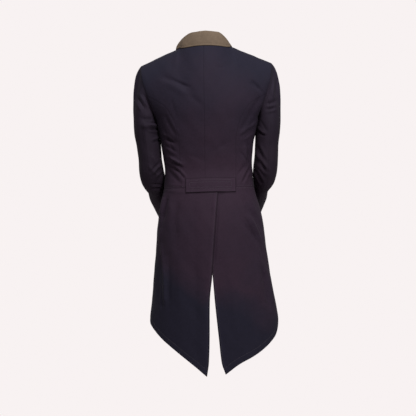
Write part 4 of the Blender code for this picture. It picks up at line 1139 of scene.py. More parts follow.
def shade_distances(apart, edges):
    """The least distance of each point from any edge and from a free edge, each counted by its kind: they
    place the painted shade beside them.
    """
    seam = np.minimum.reduce([d * SEAM_SHADE[edge[0]] for d, edge in zip(apart, edges)])
    free = [d * FREE_SHADE[edge[0]] for d, edge in zip(apart, edges) if edge[0] in FREE_SHADE]
    return seam, np.minimum.reduce(free or [seam + 1])


def dressed(node, grid, edges, folds, sizes, finish=COAT_FINISH, step=None, keep=None, bar=None):
    """One cloth piece in the place of its node, with its stitching. The grid holds points and outward
    directions. The cloth is moved out by folds and ripple and in by the relief of its edges."""
    need_piece(node)
    cloth, thread, slot = finish
    step = (step or sizes.grid_step) * 1
    grid = respace(grid, near(edges[0]), near(edges[1]), step)
    grid = respace(grid.transpose(1, 0, 2), near(edges[2]), near(edges[3]), step).transpose(1, 0, 2)
    points, facing = grid[..., :3], unit(grid[..., 3:])
    apart = distances(points)
    height = cloth_height(points, facing, apart, edges, folds, sizes.crease_strength)
    outer = points + facing * height[..., None]
    if keep:
        outer = keep(outer)
    seam, free = shade_distances(apart, edges)
    # Distances that place the painted shade along seams and free edges, and the inside
    values = {
        "seam": np.tile(seam.ravel(), 2),
        "free_edge": np.tile(free.ravel(), 2),
        "inside": np.repeat([0.0, 1.0], seam.size),
    }
    flat = np.stack([apart[2], apart[0]], -1).reshape(-1, 2)
    corners, faces = closed_wall(outer, outer - facing * WALL)
    name = "cloth_" + node
    mesh = new_mesh(name, corners, faces)
    mesh.validate()
    keep_values(mesh, faces, values, np.tile(flat, (2, 1)))
    piece = add_piece(name, mesh, cloth)
    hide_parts(node)
    lines = stitch_rows(outer, facing, edges)
    if bar:
        lines.append(level_row(outer, facing, *bar))
    with_pieces = [stitching("stitches_" + node, lines, sizes, thread)] if lines else []
    return piece


def body_grid(side, places, lift=0.0):
    """Points and outward directions of a body panel at places (angle, height), moved out by its lift."""
    angle, height = places[..., 0], places[..., 1]
    facing = outward(body, side, angle, height)
    points = body(side, angle, height) + facing * np.asarray(lift)[..., None]
    return np.concatenate([points, facing], -1)


def back_seam(share):
    """Curved back seam from the waist (0) to the armhole (1): a smooth curve through its table."""
    end = armhole(np.array(BACK_SEAM_SHARE))
    height = WAIST + (end[1] - WAIST) * share
    heights, angles = columns(BACK_SEAM[:-1] + ((end[1], end[0]),))
    return np.stack([follow(height, heights, angles), height], -1)


def front_seam(share):
    """Seam between the side panel and the front, from the waist (0) to the armhole (1). Its angle changes
    with the square of the share."""
    end = armhole(np.array(2 - FRONT_SEAM_SHARE))
    angle = FRONT_SEAM_ANGLE + (end[0] - FRONT_SEAM_ANGLE) * share**2
    return np.stack([angle, WAIST + (end[1] - WAIST) * share], -1)


def joined(up, turn, low, high):
    """An edge in two stretches: the low one up to the turning share, then the high one."""
    first = low(np.minimum(up / turn, 1))
    second = high(np.maximum(up - turn, 0) / (1 - turn))
    return np.where((up <= turn)[:, None], first, second)


def roll_line(share):
    """Place on the roll line, a smooth curve through its table: 0 at the side neck, 1 at the top button."""
    shares, angle, height = columns(ROLL_LINE)
    return np.stack([follow(share, shares, angle), follow(share, shares, height)], -1)


def front_edge(share):
    """Straight edge of a front from the point of its hem (0) to the end of the roll line (1)."""
    low = WAIST - POINT_DROP
    height = low + (ROLL_LINE[-1][2] - low) * share
    return np.stack([FRONT_EDGE_ANGLE + 0 * height, height], -1)


def overlap(side, angle):
    """How far a front is lifted near the centre: the right one lies over the left one."""
    lift = LAYER * soft_step((angle - OVERLAP_FROM) / (OVERLAP_FULL - OVERLAP_FROM))
    return lift if side < 0 else 0 * lift


def collar_lines(side, place):
    """Neck seam, fold line and free edge of half the collar at places from the centre back on, the last
    two on smooth curves through the collar's table."""
    rows = columns(COLLAR)
    fold_left, fold_right, fold_y, fold_z, left, right, down = (
        follow(place, rows[0], column, True) for column in rows[1:]
    )
    fold = np.stack([side * (fold_left if side > 0 else fold_right), fold_y, fold_z], -1)
    ahead = roll_line(np.maximum(place - 1, 0) * (LAPEL_START - COLLAR_NOTCH))
    behind = np.stack([np.minimum(place, 1) * SIDE_NECK_ANGLE, 0 * place], -1)
    seam_place = np.where((place > 1)[:, None], ahead, behind)
    seam = body(side, seam_place[:, 0], seam_place[:, 1])
    turn = left if side > 0 else right
    angle = np.where(down > 0, 180 - turn, turn)
    leaf = body(side, angle, -np.abs(down))
    leaf = leaf + outward(body, side, angle, -np.abs(down)) * (WALL + COLLAR_CLEAR)
    return seam, fold, leaf


def sleeve_axis(side, along):
    """Centre, half width and half depth of the sleeve at shares of its length below the cap, on smooth
    curves through its table."""
    x, y, z, left, right, half_depth = columns(SLEEVE)
    rows = np.stack([x, y, z, left if side > 0 else right, half_depth])
    run = np.concatenate([[0], np.cumsum(np.linalg.norm(np.diff(rows[:3], axis=1), axis=0))])
    run = run / run[-1]
    values = [follow(along, run, column) for column in rows]
    return np.stack(values[:3], -1), values[3], values[4]


def tube(side, turn, along):
    """Point of the sleeve below the cap: an oval ring square to the axis, turn 0 outside, 90 behind."""
    centre, half_width, half_depth = sleeve_axis(side, along)
    ahead = unit(sleeve_axis(side, along + AXIS_STEP)[0] - sleeve_axis(side, along - AXIS_STEP)[0])
    wide = unit(np.array([1.0, 0, 0]) - ahead * ahead[..., :1])
    deep = np.cross(wide, ahead)
    angle = np.radians(turn)
    aside, behind = np.cos(angle) * half_width, np.sin(angle) * half_depth
    points = centre + wide * aside[..., None] + deep * behind[..., None]
    return points * (side, 1, 1)


def beside_body(side, points):
    """Sleeve points moved out where they would lie closer to the body than the clearance: x is at least
    that of the oval section at the point's depth."""
    heights, left, right, back, front = columns(SECTIONS)
    x, y, z = points[..., 0], points[..., 1], points[..., 2]
    depth = np.where(y > 0, follow(z, heights, back), follow(z, heights, front)) + SLEEVE_CLEAR
    half = follow(z, heights, left if side > 0 else right) + SLEEVE_CLEAR
    reach = half * np.maximum(1 - np.abs(y / depth) ** (2 / OVAL), 0) ** (OVAL / 2)
    moved = np.where(z < CHEST + SLEEVE_NEAR, np.maximum(side * x, reach), side * x)
    return np.stack([side * moved, y, z], -1)


def sleeve_normals(side, grid):
    """Outward directions of a closed sleeve grid, the first column repeated at the end."""
    around = np.roll(grid[:, :-1], -1, 1) - np.roll(grid[:, :-1], 1, 1)
    around = np.concatenate([around, around[:, :1]], 1)
    return unit(np.cross(np.gradient(grid, axis=0), around)) * side


def angle_of(side, height, x):
    """Angle at which the section at a height has a distance x from the centre line: the arc sine of x
    over the half width, to the inverse power of the oval."""
    heights, left, right = columns(SECTIONS)[:3]
    half = follow(height, heights, left if side > 0 else right)
    return np.sign(x) * np.degrees(np.arcsin((np.abs(x) / half) ** (1 / OVAL)))


def lap_lift(side, x):
    """How far the left tail stands off near the centre, where it lies over the right one."""
    lift = LAYER * soft_step((LAP_FROM - x) / (LAP_FROM - LAP_FULL))
    return lift if side > 0 else 0 * lift


def base_shares(count):
    """Even shares from 0 to 1, fine enough to be respaced afterwards."""
    return np.linspace(0, 1, count + 1)


def make_back(side, word, sizes):
    """Centre back: neck and shoulder edge above, waist seam below, back seam and armhole outside."""
    up, across = base_shares(BASE_ROWS), base_shares(BASE_COLUMNS)
    outside = joined(up, BACK_TURN, back_seam, lambda share: armhole(BACK_SEAM_SHARE * (1 - share)))
    angle = side * follow(outside[:, 1], *columns(CENTRE_SEAM), True)
    inside = np.stack([angle, outside[:, 1]], -1)
    bottom = inside[0] + across[:, None] * (outside[0] - inside[0])
    top = inside[-1] + across[:, None] * (outside[-1] - inside[-1])
    places = between(bottom, top, inside, outside, across, up)
    dressed("back_" + word, body_grid(side, places), EDGES["back"], body_creases(), sizes)


def make_side_body(side, word, sizes):
    """Side panel under the arm, between the back seam and the front seam."""
    up, across = base_shares(BASE_ROWS), base_shares(BASE_COLUMNS)
    top = armhole(BACK_SEAM_SHARE + across * (2 - FRONT_SEAM_SHARE - BACK_SEAM_SHARE))
    left, right = back_seam(up), front_seam(up)
    bottom = left[0] + across[:, None] * (right[0] - left[0])
    places = between(bottom, top, left, right, across, up)
    dressed("side_body_" + word, body_grid(side, places), EDGES["side_body"], body_creases(), sizes)


def make_front(side, word, sizes):
    """Front: shoulder seam above, armhole and front seam outside, roll line and front edge inside."""
    up, across = base_shares(BASE_ROWS), base_shares(BASE_COLUMNS)
    start = 2 - FRONT_SEAM_SHARE
    outside = joined(up, FRONT_TURN, front_seam, lambda share: armhole(start + share * FRONT_SEAM_SHARE))
    inside = joined(up, ROLL_TURN, front_edge, lambda share: roll_line(1 - share))
    angle = FRONT_SEAM_ANGLE + (FRONT_EDGE_ANGLE - FRONT_SEAM_ANGLE) * across
    turn = angle if side < 0 else np.minimum(angle, 360 - angle)
    reach = (turn - TAIL_START_ANGLE) / (FRONT_EDGE_ANGLE - TAIL_START_ANGLE)
    bottom = np.stack([angle, WAIST - POINT_DROP * np.maximum(reach, 0)], -1)
    top = outside[-1] + across[:, None] * (inside[-1] - outside[-1])
    places = between(bottom, top, outside, inside, across, up)
    grid = body_grid(side, places, overlap(side, places[..., 0]))
    dressed("front_" + word, grid, EDGES["front"], body_creases(), sizes)


def make_lapel(side, word, sizes):
    """Lapel, lying on its front from the roll line to a notched outer edge."""
    down, across = base_shares(BASE_ROWS), base_shares(BASE_COLUMNS // 2)
    inner = roll_line(LAPEL_START + (LAPEL_END[side] - LAPEL_START) * down)
    shares, angle, height = columns(LAPEL_EDGE[side] + ((1.0, inner[-1, 0] + LAPEL_TURN, inner[-1, 1]),))
    outer = np.stack([follow(down, shares, angle), follow(down, shares, height)], -1)
    places = inner[:, None] + across[None, :, None] * (outer - inner)[:, None]
    lift = LAYER + LAPEL_ROLL * np.sin(np.pi * across)[None, :] + overlap(side, places[..., 0])
    grid = body_grid(side, places, lift)
    dressed("lapel_" + word, grid, EDGES["lapel"], body_creases(), sizes, step=LAPEL_STEP)


def make_collar(sizes):
    """Fall collar in one sheet: free edge, fall, fold, stand, neck seam."""
    stations = base_shares(COLLAR_STATIONS) * 2
    left, right = collar_lines(1, stations), collar_lines(-1, stations)
    seam, fold, leaf = (np.concatenate([one[::-1], other[1:]]) for one, other in zip(left, right))
    out = unit((leaf - fold) * (1, 1, 0))
    seam = seam + (0, 0, COLLAR_RISE) - out * WALL / 2
    share = base_shares(COLLAR_ROWS)[:, None, None]
    drop = (seam - fold) * (0, 0, 1)
    rise = (fold - leaf) * (0, 0, LEAF_HANDLE)
    fall = bezier(leaf, leaf + rise, fold + out * FOLD_HANDLE, fold, share)
    low = seam - drop / 2 - out * STAND_HANDLE / 3
    stand = bezier(fold, fold - out * STAND_HANDLE, low, seam, share[1:])
    outer = np.concatenate([fall, stand])
    facing = unit(np.cross(np.gradient(outer, axis=1), np.gradient(outer, axis=0)))
    facing = facing if facing[0, len(stations) - 1, 1] > 0 else -facing
    grid = np.concatenate([outer, facing], -1)
    dressed("collar", grid, EDGES["collar"], (), sizes, finish=COLLAR_FINISH, step=COLLAR_STEP)


def ring_start(side, ring):
    """Points where a sleeve leaves the body round its armhole, with the body's outward directions there."""
    places = armhole(ring % 2)
    return body(side, places[:, 0], places[:, 1]), outward(body, side, places[:, 0], places[:, 1])


def sleeve_grid(side):
    """Points and outward directions of a whole sleeve: rows down the arm, columns round it. The cap is a
    curve from the armhole to the first ring of the arm, and the arm below it is the tube."""
    stops = np.array([0, BACK_SEAM_SHARE, 2 - FRONT_SEAM_SHARE, 2])
    runs = [np.linspace(a, b, SLEEVE_COLUMNS + 1)[1:] for a, b in zip(stops, stops[1:])]
    ring = np.concatenate([[0], *runs])
    start, facing = ring_start(side, ring)
    along_ring = unit(ring_start(side, ring + RING_STEP)[0] - ring_start(side, ring - RING_STEP)[0])
    from_body = unit(np.cross(along_ring, facing)) * side
    from_body = np.where((from_body[:, :1] * side) > 0, from_body, -from_body)
    turn = follow(
        ring,
        np.array([0, BACK_SEAM_SHARE, 1.0, 2 - FRONT_SEAM_SHARE, 2]),
        np.array([0, HIND_SEAM_TURN, 180, FRONT_SEAM_TURN, 360]),
    )
    join = tube(side, turn, 0 * turn)
    level = np.abs(np.cos(np.radians(turn) / 2))[:, None] ** CAP_POWER * CAP_LEVEL
    lead = unit(from_body * np.maximum(level, CAP_LEAST) + np.array([0, 0, -1.0]) * (1 - level))
    reach = np.linalg.norm(join - start, axis=-1, keepdims=True)
    down = unit(tube(side, turn, 0 * turn + AXIS_STEP) - join)
    last = unit(down + (0, 0, -1.0))
    start = start - lead * SLEEVE_TUCK[0] - facing * SLEEVE_TUCK[1]
    t = base_shares(CAP_BASE_ROWS)[:, None, None]
    handles = start + lead * reach * CAP_HANDLE[side], join - last * reach * CAP_END_HANDLE
    cap = bezier(start, *handles, join, t)
    along = base_shares(ARM_BASE_ROWS)[1:, None]
    arm = tube(side, turn[None, :] + 0 * along, along + 0 * turn[None, :])
    outer = np.concatenate([cap, arm])
    return np.concatenate([outer, sleeve_normals(side, outer)], -1)


def make_sleeve(side, word, sizes):
    """Two-piece sleeve: the top piece over the arm, the under piece between the two seams."""
    grid = sleeve_grid(side)
    hind, front = SLEEVE_COLUMNS, 2 * SLEEVE_COLUMNS
    over = np.r_[front : grid.shape[1] - 1, 0 : hind + 1]
    for name, kept in (("sleeve_under_", np.arange(hind, front + 1)), ("sleeve_top_", over)):
        dressed(
            name + word,
            grid[:, kept],
            EDGES["sleeve"],
            sleeve_creases(),
            sizes,
            finish=SLEEVE_FINISH,
            step=sizes.grid_step * SLEEVE_FINER,
            keep=lambda moved: beside_body(side, moved),
        )


def make_tail(side, word, sizes):
    """Tail: waist seam above, centre-back edge, cutaway front edge and slanted hem."""
    down, across = base_shares(BASE_ROWS), base_shares(BASE_COLUMNS)
    heights, distance = columns(TAIL_BACK_EDGE[side])
    height = WAIST + (heights[0] - WAIST) * down
    back = np.stack([angle_of(side, height, follow(height, heights, distance)), height], -1)
    heights, angles = columns(TAIL_FRONT_EDGE[side])
    height = WAIST + (heights[0] - WAIST) * down
    front = np.stack([follow(height, heights, angles), height], -1)
    shares, angles, heights = columns(TAIL_HEM[side])
    hem = np.stack([follow(across, shares, angles), follow(across, shares, heights)], -1)
    hem[0], hem[-1] = back[-1], front[-1]
    waist = back[0] + across[:, None] * (front[0] - back[0])
    places = between(waist, hem, back, front, across, down)
    x = side * body(side, places[..., 0], places[..., 1])[..., 0]
    grid = body_grid(side, places, lap_lift(side, x))
    dressed("tail_" + word, grid, EDGES["tail"], body_creases(), sizes, bar=VENT_BAR)


def make_belt(sizes):
    """Back belt across the waist seam, clear of the lapped tails below it."""
    height = BELT_BOTTOM + (BELT_TOP - BELT_BOTTOM) * base_shares(BELT_ROWS)
    x = BELT_RIGHT + (BELT_LEFT - BELT_RIGHT) * base_shares(BELT_COLUMNS)
    height, x = height[:, None] + 0 * x, x + 0 * height[:, None]
    places = np.stack([angle_of(1, height, x), height], -1)
    settle = soft_step((x - BELT_SETTLE[0]) / (BELT_SETTLE[1] - BELT_SETTLE[0]))
    lift = WALL + BELT_CLEAR + BELT_RISE + np.minimum(lap_lift(1, x), LAYER * settle)
    grid = body_grid(1, places, lift)
    dressed("back_belt", grid, EDGES["belt"], body_creases(), sizes, step=BELT_STEP)


def make_button(number, height):
    """Turned button, flat behind with a raised rim in front: its profile swept round the middle, closed
    by a point on each face, tilted to the cloth and set on it."""
    node = "front_button_%d" % number
    need_piece(node)
    share, rise = columns(BUTTON_PROFILE)
    turn = np.arange(BUTTON_SIDES) * 2 * np.pi / BUTTON_SIDES
    radius, rise = share[:, None] * BUTTON_RADIUS, rise[:, None] * BUTTON_THICKNESS
    rings = np.stack([radius * np.cos(turn), radius * np.sin(turn), rise + 0 * turn], -1)
    poles = [(0, 0, rise[0, 0]), (0, 0, rise[-1, 0])]
    place = -1, np.array(180.0), np.array(height)
    facing = outward(body, *place)
    seat = body(*place) + facing * (LAYER + BUTTON_CLEAR)
    lean = np.arctan2(-facing[1], facing[2])
    tilt = np.array([[1, 0, 0], [0, np.cos(lean), -np.sin(lean)], [0, np.sin(lean), np.cos(lean)]])
    points = np.concatenate([rings.reshape(-1, 3), poles]) @ tilt.T + seat
    index = np.arange(len(share) * BUTTON_SIDES).reshape(len(share), BUTTON_SIDES)
    beside = np.roll(index, -1, 1)
    quads = np.stack([index[:-1], index[1:], beside[1:], beside[:-1]], -1).reshape(-1, 4)
    top = np.stack([index[0], beside[0], 0 * index[0] + index.size], -1)
    back = np.stack([beside[-1], index[-1], 0 * index[0] + index.size + 1], -1)
    name = "resin_" + node
    mesh = new_mesh(name, points, quads, np.concatenate([top, back]))
    piece = add_piece(name, mesh, "button_resin")
    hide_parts(node)


# Materials


def add_node(tree, kind, inputs=None, **settings):
    """A shader node with its settings, its inputs set to values or linked to other nodes' outputs."""
    made = tree.nodes.new(kind)
    for word, value in settings.items():
        setattr(made, word, value)
    for word, value in (inputs or {}).items():
        set_socket(tree, made.inputs[word], value)
    return made


def set_socket(tree, socket, value):
    """Links a socket to another node's output, or sets it to a value."""
    if isinstance(value, bpy.types.NodeSocket):
        tree.links.new(value, socket)
    else:
        socket.default_value = value


def calculate(tree, operation, first, second=0.0, third=0.0):
    """Output of a math node."""
    inputs = {0: first, 1: second, 2: third}
    return add_node(tree, "ShaderNodeMath", inputs, operation=operation).outputs[0]


def vector_math(tree, operation, *given):
    """Output of a vector math node: a number for a length or a dot product, otherwise a vector."""
    made = add_node(tree, "ShaderNodeVectorMath", dict(enumerate(given)), operation=operation)
    return made.outputs["Value" if operation in ("LENGTH", "DOT_PRODUCT") else "Vector"]


def remap(tree, value, low, high, to_low, to_high):
    """Output of a map range node that stays within its ends."""
    inputs = {"Value": value, "From Min": low, "From Max": high, "To Min": to_low, "To Max": to_high}
    return add_node(tree, "ShaderNodeMapRange", inputs).outputs["Result"]


def mix_colours(tree, share, first, second, blend="MIX"):
    """Output of a colour mix."""
    made = add_node(tree, "ShaderNodeMix", {"Factor": share}, data_type="RGBA", blend_type=blend)
    for place, value in zip(MIX_INPUTS, (first, second)):
        set_socket(tree, made.inputs[place], value)
    return made.outputs[MIX_OUTPUT]


def noise(tree, vector, scale, detail):
    """Value of a noise texture about 0.5."""
    inputs = {"Vector": vector, "Scale": scale, "Detail": detail}
    return add_node(tree, "ShaderNodeTexNoise", inputs).outputs["Fac"]


def add_weave(tree, pitch):
    """Height of a twill: a sine wave slanted over the flat places, and a share of one that crosses it."""
    flat = add_node(tree, "ShaderNodeUVMap", uv_map="cut").outputs["UV"]
    u, v = add_node(tree, "ShaderNodeSeparateXYZ", {0: flat}).outputs[:2]
    turns = calculate(tree, "DIVIDE", 2 * np.pi, pitch)
    slanted = calculate(tree, "MULTIPLY", calculate(tree, "ADD", u, v), turns)
    steep = calculate(tree, "SUBTRACT", u, calculate(tree, "MULTIPLY", v, CROSSED_SLOPE))
    crossed = calculate(tree, "SINE", calculate(tree, "MULTIPLY", steep, turns))
    return calculate(tree, "MULTIPLY_ADD", crossed, CROSSED_SHARE, calculate(tree, "SINE", slanted))


def add_cloth_colour(tree, given, place, patches, inside):
    """Plum that turns to navy with the scaled distance from the waist, and on the tails with a slanted
    height, both moved by the patches; the lining's colour inside. The change is a painted light cast, in
    part the cloth's own changeant tone."""
    upper = vector_math(tree, "MAXIMUM", place, PLUM_LOWEST)
    far = vector_math(tree, "LENGTH", vector_math(tree, "MULTIPLY_ADD", upper, PLUM_SPREAD, PLUM_SHIFT))
    far = calculate(tree, "SUBTRACT", far, PLUM_PATCHES / 2)
    far = calculate(tree, "MULTIPLY_ADD", patches, PLUM_PATCHES, far)
    low = vector_math(tree, "DOT_PRODUCT", place, TAIL_SLANT)
    low = calculate(tree, "MULTIPLY_ADD", calculate(tree, "SUBTRACT", patches, 0.5), TAIL_PATCHES, low)
    navy = remap(tree, far, *PLUM_CHANGE, 0.0, 1.0)
    navy = calculate(tree, "MAXIMUM", navy, remap(tree, low, *TAIL_NAVY, 0.0, 1.0))
    base = mix_colours(tree, navy, given["Plum"], given["Navy"])
    return mix_colours(tree, inside, base, given["Lining"])


def add_cloth_shade(tree, low_painted_shade, place, seam, edge, mottle, fibre, weave):
    """How light the cloth is: a product of the shades of mottle, fibre, weave and height, the last a painted
    shade lower down; painted shade at seams and edges, with a lighter band added beside a free edge."""
    level = add_node(tree, "ShaderNodeSeparateXYZ", {0: place}).outputs["Z"]
    shade = remap(tree, mottle, *NOISE_RANGE, *MOTTLE_SHADE)
    # Painted shade along seams, uneven with the mottle
    deep = remap(tree, mottle, *NOISE_RANGE, *SEAM_PAINTED_SHADE)
    deep = calculate(tree, "MULTIPLY", remap(tree, seam, *SEAM_FADE, 1.0, 0.0), deep)
    for factor in (
        remap(tree, fibre, *NOISE_RANGE, *FIBRE_SHADE),
        remap(tree, weave, *WEAVE_RANGE, *WEAVE_SHADE),
        remap(tree, level, *PAINTED_SHADE_HEIGHTS, low_painted_shade, 1.0),
        calculate(tree, "SUBTRACT", 1.0, deep),
        # Painted shadow along free edges
        remap(tree, edge, *EDGE_FADE, EDGE_PAINTED_SHADOW, 1.0),
    ):
        shade = calculate(tree, "MULTIPLY", shade, factor)
    band = remap(tree, edge, *BAND_END, 1.0, 0.0)
    band = calculate(tree, "MULTIPLY", remap(tree, edge, *BAND_START, 0.0, 1.0), band)
    return calculate(tree, "MULTIPLY_ADD", band, BAND_LIGHT, shade)


def add_cloth_group():
    """Shader group for woven cloth: its colour times its shade (tone of the cloth and painted shade), a
    roughness that varies with the mottle and is smoother inside, and a height summed from weave, fibre and
    mottle."""
    tree = bpy.data.node_groups.new("woven_cloth", "ShaderNodeTree")
    for word, side, kind in CLOTH_SOCKETS:
        tree.interface.new_socket(word, in_out=side, socket_type=kind)
    given = tree.nodes.new("NodeGroupInput").outputs
    place = add_node(tree, "ShaderNodeTexCoord").outputs["Object"]
    # Distances from seams and free edges, which place painted shade, and the inside
    seam, edge, inside = (
        add_node(tree, "ShaderNodeAttribute", attribute_name=word).outputs["Fac"]
        for word in ("seam", "free_edge", "inside")
    )
    patches, mottle, fibre = (noise(tree, place, *kind) for kind in (PATCHES, MOTTLE, FIBRE))
    weave = add_weave(tree, given["Twill Pitch"])
    base = add_cloth_colour(tree, given, place, patches, inside)
    shade = add_cloth_shade(tree, given["Low Painted Shade"], place, seam, edge, mottle, fibre, weave)
    grey = add_node(tree, "ShaderNodeCombineColor", {0: shade, 1: shade, 2: shade}).outputs[0]
    rough = remap(tree, mottle, *NOISE_RANGE, *CLOTH_ROUGHNESS)
    rough = calculate(tree, "SUBTRACT", rough, calculate(tree, "MULTIPLY", inside, INSIDE_SMOOTHER))
    bump = calculate(tree, "MULTIPLY_ADD", weave, WEAVE_BUMP, calculate(tree, "MULTIPLY", fibre, FIBRE_BUMP))
    bump = calculate(tree, "MULTIPLY_ADD", mottle, MOTTLE_BUMP, bump)
    tinted = mix_colours(tree, 1.0, base, grey, "MULTIPLY")
    add_node(tree, "NodeGroupOutput", {"Color": tinted, "Roughness": rough, "Height": bump})
    return tree


def new_material(name):
    """The node tree and the Principled shader of a new material."""
    material = bpy.data.materials.new(name)
    material.use_nodes = True
    return material.node_tree, material.node_tree.nodes["Principled BSDF"]


def add_cloth_material(name, group, tones, pitch, sheen, low_painted_shade=1.0):
    """Cloth material: the woven group's colour, roughness and height, and a little sheen. Lower down it
    is darker by the low painted shade."""
    tree, shader = new_material(name)
    made = add_node(tree, "ShaderNodeGroup", node_tree=group)
    for word, colour in zip(("Plum", "Navy", "Lining"), tones):
        made.inputs[word].default_value = (*colour, 1.0)
    made.inputs["Twill Pitch"].default_value = pitch
    made.inputs["Low Painted Shade"].default_value = low_painted_shade
    inputs = {"Height": made.outputs["Height"], "Distance": CLOTH_BUMP_DEPTH, "Strength": CLOTH_BUMP}
    bump = add_node(tree, "ShaderNodeBump", inputs)
    tree.links.new(made.outputs["Color"], shader.inputs["Base Color"])
    tree.links.new(made.outputs["Roughness"], shader.inputs["Roughness"])
    tree.links.new(bump.outputs["Normal"], shader.inputs["Normal"])
    shader.inputs["Sheen Weight"].default_value = sheen
    shader.inputs["Sheen Roughness"].default_value = SHEEN_ROUGHNESS
    shader.inputs["Specular IOR Level"].default_value = CLOTH_SPECULAR


def add_grained_material(name, tone, second, scale, roughness):
    """Thread, resin or floor: two close tones in a grain of the given scale, with uneven roughness."""
    tree, shader = new_material(name)
    place = add_node(tree, "ShaderNodeTexCoord").outputs["Object"]
    grain = noise(tree, place, scale, GRAIN_DETAIL)
    colour = mix_colours(tree, remap(tree, grain, *GRAIN_CHANGE, 0.0, 1.0), (*tone, 1.0), (*second, 1.0))
    tree.links.new(colour, shader.inputs["Base Color"])
    rough = remap(tree, grain, *NOISE_RANGE, roughness - GRAIN_ROUGHNESS, roughness + GRAIN_ROUGHNESS)
    tree.links.new(rough, shader.inputs["Roughness"])
    inputs = {"Height": grain, "Distance": GRAIN_DEPTH / scale, "Strength": GRAIN_BUMP}
    bump = add_node(tree, "ShaderNodeBump", inputs)
    tree.links.new(bump.outputs["Normal"], shader.inputs["Normal"])
    return tree, shader, place


def shaded(colour, factor):
    """A colour made lighter or darker."""
    return tuple(min(channel * factor, 1.0) for channel in colour)


def add_materials(colours):
    """All the coat's materials, once."""
    if "coat_cloth" in bpy.data.materials:
        return
    group = add_cloth_group()
    plum, navy, sleeve, lining, collar, thread, button = (
        tuple(getattr(colours, word))
        for word in ("plum", "navy", "sleeve", "lining", "collar", "thread", "button")
    )
    add_cloth_material("coat_cloth", group, (plum, navy, lining), COAT_TWILL, COAT_SHEEN)
    # The sleeves take the lighter sleeve tone in place of navy, painted light on their upper part, and a
    # painted shade lower down
    tones = (plum, sleeve, lining)
    add_cloth_material("sleeve_cloth_painted_light", group, tones, COAT_TWILL, COAT_SHEEN, SLEEVE_PAINTED_SHADE)
    # The collar's darker tones follow the same painted light cast; the last one is its inside
    tones = tuple(shaded(collar, factor) for factor in COLLAR_TONES)
    add_cloth_material("contrast_cloth", group, tones, COLLAR_TWILL, COLLAR_SHEEN)
    add_grained_material("coat_thread", thread, shaded(thread, THREAD_SECOND), *THREAD_GRAIN)
    tones = (shaded(collar, factor) for factor in COLLAR_THREAD_TONES)
    add_grained_material("collar_thread", *tones, *THREAD_GRAIN)
    add_grained_material("button_resin", button, shaded(button, BUTTON_SECOND), *BUTTON_GRAIN)


# Stage and camera


def add_floor(stage):
    """Flat round floor far below the coat, pale, fading out towards its edge: a fan of triangles from
    points on a circle to its middle."""
    turn = np.arange(FLOOR_SIDES) * 2 * np.pi / FLOOR_SIDES
    circle = np.stack([np.cos(turn), np.sin(turn), 0 * turn], -1) * stage.floor_radius
    points = np.concatenate([circle, [[0, 0, 0]]]) + (0, 0, stage.floor_height)
    index = np.arange(FLOOR_SIDES)
    faces = np.stack([index, np.roll(index, -1), 0 * index + FLOOR_SIDES], -1)
    mesh = bpy.data.meshes.new("floor")
    mesh.from_pydata(points.tolist(), [], faces.tolist())
    tree, shader, place = add_grained_material("floor_paint", *FLOOR_TONES, *FLOOR_GRAIN)
    length = vector_math(tree, "LENGTH", vector_math(tree, "MULTIPLY", place, LEVEL))
    start, end = (stage.floor_radius * share for share in FLOOR_FADE)
    tree.links.new(remap(tree, length, start, end, 1.0, 0.0), shader.inputs["Alpha"])
    mesh.materials.append(bpy.data.materials["floor_paint"])
    floor = bpy.data.objects.new("floor", mesh)
    bpy.context.scene.collection.objects.link(floor)


def add_softbox(name, place, size, power):
    """Square soft light that faces the coat's middle."""
    light = bpy.data.lights.new(name, "AREA")
    light.shape, light.size, light.energy = "SQUARE", size, power
    lamp = bpy.data.objects.new(name, light)
    lamp.location = place
    lamp.visible_camera = False
    lamp.rotation_euler = (Vector(MIDDLE) - Vector(place)).to_track_quat("-Z", "Y").to_euler()
    bpy.context.scene.collection.objects.link(lamp)


def add_world(stage):
    """Pale world: seen as the backdrop, and a dimmer soft light on the coat."""
    world = bpy.data.worlds.new("studio")
    bpy.context.scene.world = world
    world.use_nodes = True
    tree = world.node_tree
    tree.nodes.clear()
    colour = (*stage.backdrop, 1.0)
    seen, lit = (
        add_node(tree, "ShaderNodeBackground", {"Color": colour, "Strength": strength}).outputs[0]
        for strength in (1.0, stage.world_light)
    )
    ray = add_node(tree, "ShaderNodeLightPath").outputs["Is Camera Ray"]
    both = add_node(tree, "ShaderNodeMixShader", {0: ray, 1: lit, 2: seen})
    add_node(tree, "ShaderNodeOutputWorld", {"Surface": both.outputs[0]})
    bpy.context.scene.view_settings.view_transform = "Standard"


def add_camera():
    """Camera behind the coat at half its height, rolled a little as the photograph is."""
    data = bpy.data.cameras.new("camera")
    data.sensor_width, data.lens = CAMERA_SENSOR, CAMERA_LENS
    camera = bpy.data.objects.new("camera", data)
    turned = Matrix.Rotation(np.pi, 4, "Z") @ Matrix.Rotation(np.pi / 2, 4, "X")
    camera.matrix_world = Matrix.Translation(CAMERA_PLACE) @ turned @ Matrix.Rotation(CAMERA_ROLL, 4, "Z")
    bpy.context.scene.collection.objects.link(camera)
    bpy.context.scene.camera = camera


# Add-on


class TailcoatSizes(bpy.types.PropertyGroup):
    """Sizes of the cloth's mesh, creases and stitching."""

    grid_step: bpy.props.FloatProperty(
        name="Grid Step",
        description="Distance between points of the cloth",
        default=0.0026,
        min=0.002,
        unit="LENGTH",
    )
    crease_strength: bpy.props.FloatProperty(
        name="Crease Strength",
        description="How deep the folds and creases are",
        default=1.35,
        min=0.0,
        max=2.5,
    )
    stitch_pitch: bpy.props.FloatProperty(
        name="Stitch Pitch",
        description="Distance from stitch to stitch",
        default=0.0034,
        min=0.002,
        unit="LENGTH",
    )
    stitch_length: bpy.props.FloatProperty(
        name="Stitch Length",
        description="Length of one stitch",
        default=0.0026,
        min=0.001,
        unit="LENGTH",
    )
    stitch_radius: bpy.props.FloatProperty(
        name="Stitch Radius",
        description="Half the thickness of the thread",
        default=0.00036,
        min=0.0001,
        unit="LENGTH",
    )


# What all colour properties share
COLOUR = {"subtype": "COLOR", "size": 3}


